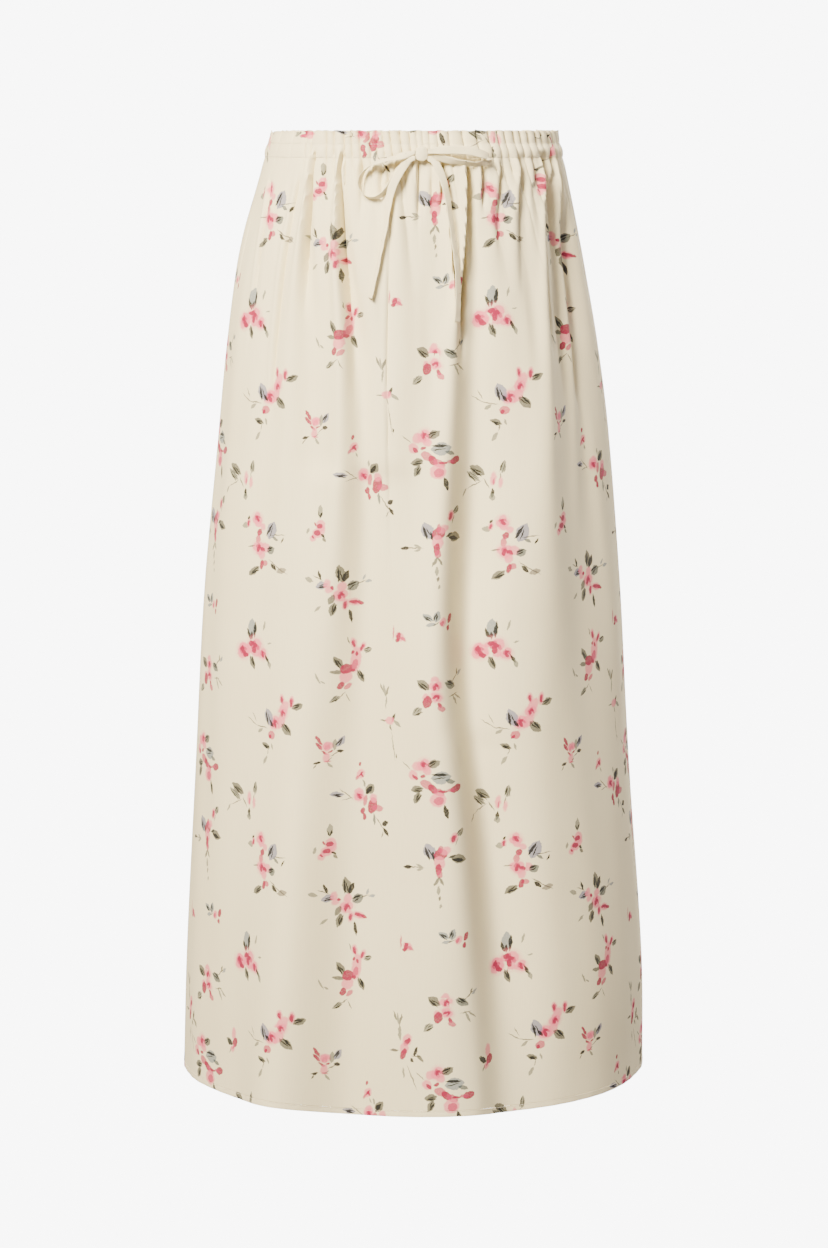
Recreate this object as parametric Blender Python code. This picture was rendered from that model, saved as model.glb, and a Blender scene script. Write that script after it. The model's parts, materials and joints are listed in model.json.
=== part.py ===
# A maxi skirt, filled out as if worn and hollow inside, with its waist, hem and seams open.
# Two A-line panels are gathered into an elastic casing with a frilled header above it,
# the hem is turned up narrow, and a flat tie of the same cloth is knotted in a bow in front.
# Metres, +Z up. The origin is the middle of the waist, at half the height of the casing.
# The front faces -Y. A turn is in degrees round the body: 0 front, 90 at +X, 180 back, -90 at -X.
import math
from collections import namedtuple

import bmesh
import bpy
from mathutils import Vector

MM = 0.001
GAP = 0.3 * MM  # between pieces that are sewn together
CLOTH = 1.2 * MM  # thickness of a single wall
HEM_WALL = 2.0 * MM  # the hem is folded over twice
CASING_WALL = 1.8 * MM  # two layers with the elastic between them

HEADER_TOP = 19.5  # heights in mm above the origin
CASING_TOP = 6.8
CASING_FOOT = -6.8
HEM_TOP = -934.0
HEM_FOOT = -940.0
CASING_BULGE = 0.4 * MM

# The smooth outline of the cloth: half-widths to each side and half-depths to front and back, in mm.
Section = namedtuple("Section", "height left right front back")
SECTIONS = (
    Section(19.5, 139.0, 141.0, 99.0, 99.0),
    Section(8.0, 142.0, 143.5, 101.0, 101.0),
    Section(-8.0, 146.0, 147.5, 103.5, 104.5),
    Section(-40.0, 155.5, 155.5, 108.0, 112.0),
    Section(-80.0, 167.5, 164.5, 113.0, 121.0),
    Section(-120.0, 176.0, 172.5, 117.0, 129.0),
    Section(-200.0, 187.0, 185.5, 124.0, 139.0),
    Section(-280.0, 195.0, 196.0, 130.0, 144.0),
    Section(-440.0, 210.5, 210.0, 141.0, 152.0),
    Section(-630.0, 222.5, 222.0, 154.0, 162.0),
    Section(-820.0, 235.0, 235.0, 168.0, 172.0),
    Section(-940.0, 240.5, 239.0, 176.0, 178.0),
)

# Folds run down the cloth between two heights. path, deep and wide are given at the four STATIONS:
# the turn of the fold's line, the drop from its ridge to its valley in mm, and the reach of the
# ridge in mm. The valley reaches VALLEY_SHARE times as far. A lean of 1 puts the valley on the side
# of the larger turn and -1 on the other side. A lean of 0 makes a plain trough along the line.
STATIONS = (-20.0, -200.0, -500.0, -940.0)
VALLEY_SHARE = 1.35
Fold = namedtuple("Fold", "name top foot lean path deep wide")
FOLDS = (
    Fold("main", -6, -2000, 1, (21, 14.6, 11.7, 17.5), (6, 12, 12, 12.5), (4, 7, 13, 36)),
    Fold("main_inner", -6, -125, 1, (10.9, 17.5, 17.5, 17.5), (5, 4, 0, 0), (3.5, 4, 4, 4)),
    Fold("left_of_middle", -6, -370, 1, (-28.5, -19, -10, 0), (4, 8, 3, 0), (5, 8, 9, 9)),
    Fold("low_fold", -300, -2000, 1, (-16, -16, -19, -24.5), (0, 3, 8, 9), (28, 28, 24, 18)),
    Fold("low_middle", -420, -2000, 0, (-10, -10, -10, -9), (0, 0, 1, 9), (40, 40, 40, 44)),
    Fold("low_left", -420, -2000, 0, (-57, -57, -57, -59), (0, 0, 1, 10.5), (90, 90, 90, 88)),
    Fold("low_right", -380, -2000, 0, (57, 57, 57, 58), (0, 0, 3, 15), (80, 80, 80, 82)),
    Fold("crisp_line", -30, -560, 1, (-5, -7.6, -5.3, -4), (2, 2.6, 1.4, 0), (3.5, 3.5, 5, 6)),
    Fold("soft_middle", -80, -230, 1, (0.2, 0.2, 0.2, 0.2), (2.5, 3, 0, 0), (11, 13, 13, 13)),
    Fold("left_gather", -12, -290, 1, (-40, -35.7, -30, -30), (3, 4, 1, 0), (5, 8, 8, 8)),
    Fold("left_crease", -50, -290, 1, (-46.8, -46.5, -46, -46), (1.5, 2.2, 1, 0), (4, 4, 4, 4)),
    Fold("short_a", -4, -52, 1, (-20.5, -15, -15, -15), (4.5, 1, 0, 0), (4, 5, 5, 5)),
    Fold("short_b", -4, -66, 1, (-3.8, -3, -3, -3), (3.5, 1, 0, 0), (4, 5, 5, 5)),
    Fold("short_c", -4, -62, 1, (1.8, 2.6, 2.6, 2.6), (3.5, 1, 0, 0), (3, 4, 4, 4)),
    Fold("short_d", -20, -90, 1, (7.4, 7.4, 7.4, 7.4), (3, 1, 0, 0), (3.5, 4, 4, 4)),
    Fold("short_e", -8, -80, 1, (26.5, 18, 18, 18), (3.5, 1, 0, 0), (3.5, 4, 4, 4)),
    Fold("right_gather", -6, -105, 1, (34, 25, 25, 25), (5.5, 3, 0, 0), (4, 5, 5, 5)),
    Fold("right_long", -4, -200, 1, (44, 32.5, 32.5, 32.5), (6, 5, 0, 0), (4, 7, 7, 7)),
    Fold("short_f", -4, -45, 1, (51.2, 45, 45, 45), (3.5, 1, 0, 0), (4, 5, 5, 5)),
    Fold("right_deep", -4, -640, 1, (59.5, 47.8, 56, 62), (6, 11, 7, 4), (4, 8, 24, 34)),
    Fold("right_side", -4, -340, 1, (75, 57.4, 57, 57), (5, 9, 3, 0), (4, 7, 10, 10)),
    Fold("side_edge", -90, -310, 1, (74, 77.3, 84, 84), (3, 4, 1, 0), (5, 7, 7, 7)),
    Fold("left_side", -40, -520, -1, (-66, -68, -70, -72), (2, 5, 3, 0), (9, 16, 24, 30)),
    Fold("back_a", -6, -2000, 1, (104, 111, 114, 110), (5, 9, 9, 11), (4, 8, 18, 38)),
    Fold("back_b", -4, -230, 1, (122, 125, 126, 126), (5, 5, 0, 0), (4, 7, 7, 7)),
    Fold("back_c", -4, -420, -1, (139, 137, 135, 133), (5, 8, 3, 0), (4, 8, 12, 12)),
    Fold("back_d", -4, -90, 1, (151, 149, 149, 149), (4.5, 2, 0, 0), (4, 5, 5, 5)),
    Fold("back_e", -6, -2000, 1, (162, 157, 154, 152), (6, 11, 11, 12), (4, 8, 15, 36)),
    Fold("back_f", -4, -150, -1, (174, 176, 176, 176), (5, 3, 0, 0), (4, 6, 6, 6)),
    Fold("back_g", -4, -330, 1, (187, 184, 182, 182), (5, 7, 1, 0), (4, 8, 10, 10)),
    Fold("back_h", -4, -75, 1, (197, 198, 198, 198), (4, 1, 0, 0), (4, 5, 5, 5)),
    Fold("back_i", -6, -2000, -1, (208, 205, 203, 206), (6, 10, 10, 12), (4, 8, 16, 38)),
    Fold("back_j", -4, -210, 1, (223, 226, 226, 226), (5, 5, 0, 0), (4, 7, 7, 7)),
    Fold("back_k", -4, -480, -1, (238, 234, 230, 228), (5, 8, 4, 0), (4, 9, 16, 16)),
    Fold("back_l", -4, -120, 1, (252, 250, 250, 250), (4, 3, 0, 0), (4, 6, 6, 6)),
)
FOLD_FADE = 45.0  # a fold grows over up to this height at its top, in mm

# Gathers fill the waist in stretches of the turn. steps is the number of columns to each gather.
Stretch = namedtuple("Stretch", "start end count steps deep")
STRETCHES = (
    Stretch(-90.0, -46.0, 4, 4, 0.5),
    Stretch(-46.0, 62.0, 26, 4, 1.9),
    Stretch(62.0, 90.0, 3, 4, 1.6),
    Stretch(90.0, 270.0, 30, 4, 1.8),
)
# How much of a gather's depth shows at each height, in mm.
Gathered = namedtuple("Gathered", "height share")
GATHERED = (
    Gathered(19.5, 1.0),
    Gathered(6.8, 0.55),
    Gathered(0.0, 0.7),
    Gathered(-6.8, 0.55),
    Gathered(-20.0, 1.05),
    Gathered(-40.0, 0.55),
    Gathered(-70.0, 0.12),
    Gathered(-110.0, 0.0),
)

# Rings of each panel, in mm. Above COARSE_BELOW they hold every column, and below it every other one.
PANEL_HEIGHTS = (-7.1, -18.0, -36.0, -62.0, -100.0, -150.0, -215.0, -300.0, -410.0, -550.0, -730.0, -933.7)
COARSE_BELOW = -99.0

FRONT, BACK = (-90.0, 90.0), (90.0, 270.0)
CREAM = (0.80, 0.75, 0.65, 1.0)

# The tie: a flat tube of the same cloth, knotted in a bow on the front of the casing.
TIE_WIDTH = 8.0 * MM
TIE_WALL = 1.2 * MM
TIE_AT_KNOT = 4.2 * MM  # squeezed to this width where it enters the knot
LOOP_PITCH = 4.2 * MM  # between the rings along a loop
END_PITCH = 6.0 * MM  # and along a free end
KNOT_SIZE = Vector((11.0, 7.0, 12.7)) * MM
KNOT_X, KNOT_HEIGHT = 8.8, -2.9  # mm
KNOT_ROUND = 2.0 * MM
# Routes start 0.3 mm from the side of the knot: across and up in mm, how far the tie's middle stands
# out from the cloth behind it, and the direction that its width takes.
Along = namedtuple("Along", "x height out width")
TIE_ROUTES = {
    "bow_loop_right": (
        Along(14.6, -1.0, 5.2, (0.0, 0.0, 1.0)),
        Along(26.0, 0.6, 7.6, (0.0, 0.1, 1.0)),
        Along(40.6, 0.9, 10.0, (0.0, 0.1, 1.0)),
        Along(55.0, -0.2, 11.0, (-0.1, 0.1, 1.0)),
        Along(66.0, -2.8, 10.4, (-0.2, 0.1, 1.0)),
        Along(73.0, -6.4, 7.6, (-0.3, -0.1, 0.95)),
        Along(71.0, -10.2, 5.0, (-0.2, -0.5, 0.8)),
        Along(62.0, -12.6, 4.6, (0.1, -0.75, 0.6)),
        Along(50.2, -11.8, 4.4, (0.1, -0.75, 0.6)),
        Along(36.0, -9.2, 3.8, (0.1, -0.55, 0.8)),
        Along(24.0, -6.2, 2.8, (0.0, -0.3, 0.95)),
        Along(14.6, -4.2, 2.2, (0.0, 0.0, 1.0)),
    ),
    "bow_loop_left": (
        Along(3.0, -1.4, 5.2, (0.0, 0.0, 1.0)),
        Along(-5.0, -3.6, 7.0, (0.1, 0.35, 0.95)),
        Along(-14.5, -6.2, 8.2, (0.2, 0.75, 0.6)),
        Along(-26.0, -8.7, 8.6, (0.25, 0.85, 0.5)),
        Along(-38.0, -12.6, 8.0, (0.35, 0.85, 0.4)),
        Along(-47.0, -20.2, 6.8, (0.5, 0.85, 0.15)),
        Along(-51.0, -31.0, 5.6, (0.45, 0.9, 0.0)),
        Along(-48.2, -40.0, 5.0, (0.3, 0.92, -0.2)),
        Along(-40.4, -44.6, 4.8, (0.1, 0.92, -0.35)),
        Along(-31.0, -42.6, 4.4, (0.3, 0.8, -0.4)),
        Along(-22.8, -34.6, 3.4, (0.6, 0.6, -0.5)),
        Along(-16.0, -24.0, 2.2, (0.8, 0.25, -0.5)),
        Along(-8.6, -13.6, 1.7, (0.75, 0.0, -0.65)),
        Along(-2.0, -7.2, 1.9, (0.4, 0.0, -0.9)),
        Along(3.0, -4.4, 2.2, (0.0, 0.0, -1.0)),
    ),
    "tie_end_left": (
        Along(3.0, -6.7, 5.2, (0.0, 0.0, 1.0)),
        Along(-3.0, -9.0, 6.0, (-0.35, 0.05, 0.95)),
        Along(-9.0, -15.3, 6.4, (-0.8, 0.1, 0.6)),
        Along(-14.8, -24.8, 6.6, (-0.9, 0.1, 0.45)),
        Along(-19.6, -35.2, 6.2, (-0.93, 0.2, 0.3)),
        Along(-22.5, -46.5, 5.2, (-0.85, 0.5, 0.1)),
        Along(-24.2, -59.8, 4.8, (-0.6, 0.8, 0.05)),
        Along(-25.8, -73.0, 4.8, (-0.42, 0.9, 0.1)),
        Along(-30.2, -94.0, 4.8, (-0.38, 0.92, 0.1)),
        Along(-35.0, -116.9, 4.8, (-0.38, 0.92, 0.1)),
        Along(-40.6, -139.9, 4.8, (-0.42, 0.9, 0.1)),
    ),
    "tie_end_right": (
        Along(14.6, -7.4, 4.4, (0.0, 0.0, 1.0)),
        Along(20.4, -10.4, 4.8, (0.45, 0.2, 0.85)),
        Along(26.0, -19.0, 4.8, (0.8, 0.4, 0.45)),
        Along(30.6, -31.4, 4.5, (0.75, 0.6, 0.25)),
        Along(33.6, -44.6, 4.4, (0.65, 0.75, 0.15)),
        Along(36.0, -59.8, 4.4, (0.6, 0.8, 0.1)),
        Along(38.9, -78.8, 4.4, (0.6, 0.8, 0.1)),
        Along(41.8, -99.8, 4.4, (0.6, 0.8, 0.1)),
        Along(43.6, -122.0, 4.4, (0.6, 0.8, 0.0)),
        Along(43.8, -142.0, 4.4, (0.65, 0.75, 0.0)),
        Along(42.9, -162.4, 4.4, (0.7, 0.7, 0.0)),
    ),
}


def blend_rows(rows, key, column, at):
    """A smooth value of a column between rows, whose key goes down from row to row."""
    keys = [getattr(row, key) for row in rows]
    values = [getattr(row, column) for row in rows]
    return smooth_between(keys, values, at)


def smooth_between(keys, values, at):
    """Cubic through the values, flat past both ends, with keys going down."""
    if at >= keys[0]:
        return values[0]
    if at <= keys[-1]:
        return values[-1]
    i = next(n for n in range(len(keys) - 1) if at >= keys[n + 1])
    span = keys[i] - keys[i + 1]
    t = (keys[i] - at) / span

    def slope(n):
        low, high = max(n - 1, 0), min(n + 1, len(keys) - 1)
        return (values[high] - values[low]) / (keys[low] - keys[high])

    a, b = values[i], values[i + 1]
    m, n = slope(i) * span, slope(i + 1) * span
    return (
        (2 * t**3 - 3 * t**2 + 1) * a
        + (t**3 - 2 * t**2 + t) * m
        + (3 * t**2 - 2 * t**3) * b
        + (t**3 - t**2) * n
    )


def ease(t):
    t = min(max(t, 0.0), 1.0)
    return t * t * (3 - 2 * t)


def half_sizes(turn, height):
    """The half-width and half-depth of the section on the quarter that the turn lies in, in mm."""
    angle = math.radians(turn)
    wide = blend_rows(SECTIONS, "height", "right" if math.sin(angle) > 0 else "left", height)
    deep = blend_rows(SECTIONS, "height", "front" if math.cos(angle) > 0 else "back", height)
    return wide, deep


def fold_drop(fold, turn, height):
    """How far one fold moves the cloth outwards, in mm."""
    if not fold.foot < height < fold.top:
        return 0.0
    line = smooth_between(STATIONS, fold.path, height)
    angle = math.radians(line)
    wide, deep = half_sizes(line, height)
    away = (turn - line + 180.0) % 360.0 - 180.0
    across = math.radians(away) * math.hypot(wide * math.cos(angle), deep * math.sin(angle))
    ridge = smooth_between(STATIONS, fold.wide, height)
    drop = max(smooth_between(STATIONS, fold.deep, height), 0.0)
    length = fold.top - fold.foot
    drop *= ease((fold.top - height) / min(FOLD_FADE, length / 2))
    drop *= ease((height - fold.foot) / (0.45 * length))
    if fold.lean == 0:
        return -drop * math.exp(-((across / ridge) ** 2))
    across *= fold.lean
    valley = ridge * VALLEY_SHARE
    reach = ridge if across < 0 else valley
    shape = across / reach * math.exp(0.5 - 0.5 * (across / reach) ** 2)
    return -drop * reach / (ridge + valley) * shape


def gather_turns():
    """The turns of the pinched lines between gathers, with each gather's depth and columns."""
    found = []
    for stretch in STRETCHES:
        widths = []
        for n in range(stretch.count):
            widths.append(1 + 0.30 * math.sin(2.4 * n + stretch.start) + 0.16 * math.sin(5.3 * n))
        turn = stretch.start
        for n, width in enumerate(widths):
            size = (stretch.end - stretch.start) * width / sum(widths)
            deep = stretch.deep * (0.75 + 0.25 * math.sin(1.7 * n + 0.6 * stretch.start))
            found.append((turn, size, deep, stretch.steps))
            turn += size
    return found


GATHERS = gather_turns()


def gather_puff(turn, height):
    """How far the gathers move the cloth outwards, in mm: rounded between sharp pinches."""
    share = blend_rows(GATHERED, "height", "share", height)
    if share <= 0.0:
        return 0.0
    around = (turn + 90.0) % 360.0 - 90.0
    start, size, deep, _ = max(g for g in GATHERS if g[0] <= around + 1e-9)
    phase = (around - start) / size
    return share * deep * (abs(math.sin(math.pi * phase)) - 0.6)


def cloth_point(turn, height):
    """The middle of the cloth's thickness, in metres."""
    angle = math.radians(turn)
    wide, deep = half_sizes(turn, height)
    out = Vector((deep * math.sin(angle), -wide * math.cos(angle))).normalized()
    moved = gather_puff(turn, height) + sum(fold_drop(fold, turn, height) for fold in FOLDS)
    x = wide * math.sin(angle) + out.x * moved
    y = -deep * math.cos(angle) + out.y * moved
    return Vector((x * MM, y * MM))


def columns(half, every):
    """The turns of one half's columns, from seam to seam: `every` 1 takes all, 2 every other one."""
    turns = []
    for start, size, _, steps in GATHERS:
        if half[0] - 1e-6 <= start < half[1] - 1e-6:
            turns += [start + size * n / steps for n in range(0, steps, every)]
    return turns + [half[1]]


def wall_ring(half, height, thickness, every=1, bulge=0.0):
    """The outer and inner points of one ring of a half, with its ends squared off at the seams."""
    turns = columns(half, every)
    middle = [cloth_point(turn, height) for turn in turns]
    outer, inner = [], []
    for n, point in enumerate(middle):
        if n in (0, len(middle) - 1):
            normal = Vector((math.copysign(1.0, point.x), 0.0))
        else:
            along = middle[n + 1] - middle[n - 1]
            normal = Vector((along.y, -along.x)).normalized()
        side = (GAP / 2) * (1 if half == BACK else -1)
        nudge = Vector((0.0, side if n in (0, len(middle) - 1) else 0.0))
        outside = point + normal * (CLOTH / 2 + bulge) + nudge
        outer.append((outside.x, outside.y, height * MM))
        inside = outside - normal * thickness
        inner.append((inside.x, inside.y, height * MM))
    return outer, inner


def stitch_rows(bm, upper, lower, flip):
    """Faces between two rows of vertices. The lower row may hold every other column of the upper."""
    step = (len(upper) - 1) // (len(lower) - 1)
    for n in range(len(lower) - 1):
        top = upper[n * step : (n + 1) * step + 1]
        face = top[::-1] + [lower[n], lower[n + 1]]
        bm.faces.new(face[::-1] if flip else face)


def material(name, colour, roughness):
    made = bpy.data.materials.new(name)
    made.use_nodes = True
    shader = made.node_tree.nodes["Principled BSDF"]
    shader.inputs["Base Color"].default_value = colour
    shader.inputs["Roughness"].default_value = roughness
    shader.inputs["Metallic"].default_value = 0.0
    return made


def add_object(name, bm, colour=CREAM):
    bmesh.ops.triangulate(bm, faces=bm.faces[:])
    mesh = bpy.data.meshes.new(name)
    bm.to_mesh(mesh)
    bm.free()
    mesh.shade_smooth()
    made = bpy.data.objects.new(name, mesh)
    made.data.materials.append(material(name + "_cloth", colour, 0.6))
    bpy.context.scene.collection.objects.link(made)
    return made


def wall_piece(name, rings):
    """A closed wall from rings of (outer, inner) points, top to bottom."""
    bm = bmesh.new()
    rows = [tuple([bm.verts.new(p) for p in side] for side in ring) for ring in rings]
    for upper, lower in zip(rows, rows[1:]):
        stitch_rows(bm, upper[0], lower[0], False)
        stitch_rows(bm, upper[1], lower[1], True)
    for row, flip in ((rows[0], False), (rows[-1], True)):
        for n in range(len(row[0]) - 1):
            face = [row[0][n], row[0][n + 1], row[1][n + 1], row[1][n]]
            bm.faces.new(face[::-1] if flip else face)
    for end, flip in ((0, False), (-1, True)):
        for upper, lower in zip(rows, rows[1:]):
            face = [upper[0][end], upper[1][end], lower[1][end], lower[0][end]]
            bm.faces.new(face[::-1] if flip else face)
    return add_object(name, bm)


def panel(name, half):
    rings = []
    for height in PANEL_HEIGHTS:
        every = 2 if height < COARSE_BELOW else 1
        rings.append(wall_ring(half, height, CLOTH, every))
    return wall_piece(name, rings)


def header(name, half):
    heights = (HEADER_TOP, CASING_TOP + GAP / MM)
    return wall_piece(name, [wall_ring(half, height, CLOTH) for height in heights])


def casing(name, half):
    heights = ((CASING_TOP, 0.0), (0.0, CASING_BULGE), (CASING_FOOT, 0.0))
    return wall_piece(name, [wall_ring(half, height, CASING_WALL, bulge=b) for height, b in heights])


def hem(name, half):
    return wall_piece(name, [wall_ring(half, height, HEM_WALL, every=2) for height in (HEM_TOP, HEM_FOOT)])


def front_of_cloth(x, height, reach):
    """The y in metres of the cloth's outermost face within `reach` mm of a place on the front."""
    found = 0.0
    for up in (-reach, 0.0, reach):
        wide, _ = half_sizes(math.copysign(1.0, x), height + up)
        for step in range(-3, 4):
            turn = math.degrees(math.asin((x + step * reach / 3) / wide))
            found = min(found, cloth_point(turn, min(height + up, HEADER_TOP)).y)
    proud = CASING_BULGE if height + reach > CASING_FOOT else 0.0
    return found - CLOTH / 2 - proud


def smooth_through(points, t):
    """A point on a Catmull-Rom curve through tuples of numbers, with t from 0 to 1."""
    spans = len(points) - 1
    i = min(int(t * spans), spans - 1)
    f = t * spans - i
    before, here = points[max(i - 1, 0)], points[i]
    there, beyond = points[i + 1], points[min(i + 2, spans)]
    return [
        0.5 * (2 * b + (c - a) * f + (2 * a - 5 * b + 4 * c - d) * f**2 + (3 * b - a - 3 * c + d) * f**3)
        for a, b, c, d in zip(before, here, there, beyond)
    ]


def tie_rings(route, pitch):
    """The middles and width directions along a route, evenly spaced, in metres."""
    stops = []
    for at in route:
        y = front_of_cloth(at.x, at.height, 4.0) - at.out * MM
        stops.append((at.x * MM, y, at.height * MM, *at.width))
    fine = [smooth_through(stops, n / 600) for n in range(601)]
    lengths = [0.0]
    for a, b in zip(fine, fine[1:]):
        lengths.append(lengths[-1] + math.dist(a[:3], b[:3]))
    count = round(lengths[-1] / pitch)
    rings = []
    for n in range(count + 1):
        want = lengths[-1] * n / count
        i = min(range(len(fine)), key=lambda k: abs(lengths[k] - want))
        rings.append((Vector(fine[i][:3]), Vector(fine[i][3:]), want))
    return rings


def tie_piece(name, route, knotted_ends):
    """A flat tube along a route, narrowing into the knot at its first end or at both."""
    rings = tie_rings(route, LOOP_PITCH if knotted_ends == 2 else END_PITCH)
    whole = rings[-1][2]
    bm = bmesh.new()
    rows = []
    for n, (middle, width, length) in enumerate(rings):
        ahead = rings[min(n + 1, len(rings) - 1)][0] - rings[max(n - 1, 0)][0]
        if n == 0 or (n == len(rings) - 1 and knotted_ends == 2):
            ahead = Vector((math.copysign(1.0, ahead.x), 0.0, 0.0))
        ahead.normalize()
        side = (width - ahead * width.dot(ahead)).normalized()
        face = ahead.cross(side)
        from_knot = min(length, whole - length) if knotted_ends == 2 else length
        half = (TIE_AT_KNOT + (TIE_WIDTH - TIE_AT_KNOT) * ease(from_knot / (16 * MM))) / 2
        edge = half - 0.5 * MM
        corners = ((half, 0), (edge, 1), (-edge, 1), (-half, 0), (-edge, -1), (edge, -1))
        rows.append([bm.verts.new(middle + side * a + face * b * TIE_WALL / 2) for a, b in corners])
    for low, high in zip(rows, rows[1:]):
        for a in range(6):
            b = (a + 1) % 6
            bm.faces.new((low[a], low[b], high[b], high[a]))
    bm.faces.new(rows[0][::-1])
    bm.faces.new(rows[-1])
    return add_object(name, bm)


def knot():
    """A rounded block that sits on the casing, just clear of the outermost points behind it."""
    behind = [wall_ring(FRONT, 0.0, CASING_WALL, bulge=CASING_BULGE)[0]]
    behind += [wall_ring(FRONT, height, CLOTH)[0] for height in (CASING_FOOT, PANEL_HEIGHTS[0])]
    reach = KNOT_SIZE.x / 2
    back = min(p[1] for ring in behind for p in ring if abs(p[0] - KNOT_X * MM) < reach) - GAP
    bm = bmesh.new()
    bmesh.ops.create_cube(bm, size=1.0)
    bmesh.ops.scale(bm, vec=KNOT_SIZE, verts=bm.verts[:])
    bmesh.ops.bevel(bm, geom=bm.edges[:], offset=KNOT_ROUND, segments=2, profile=0.6, affect="EDGES")
    middle = Vector((KNOT_X * MM, back - KNOT_SIZE.y / 2, KNOT_HEIGHT * MM))
    bmesh.ops.translate(bm, vec=middle, verts=bm.verts[:])
    return add_object("bow_knot", bm)


def clear():
    for old in list(bpy.data.objects):
        bpy.data.objects.remove(old)


def main():
    clear()
    for side, half in (("front", FRONT), ("back", BACK)):
        header("header_" + side, half)
        casing("casing_" + side, half)
        panel(side + "_panel", half)
        hem("hem_" + side, half)
    knot()
    for name, route in TIE_ROUTES.items():
        tie_piece(name, route, 2 if "loop" in name else 1)


main()
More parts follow.
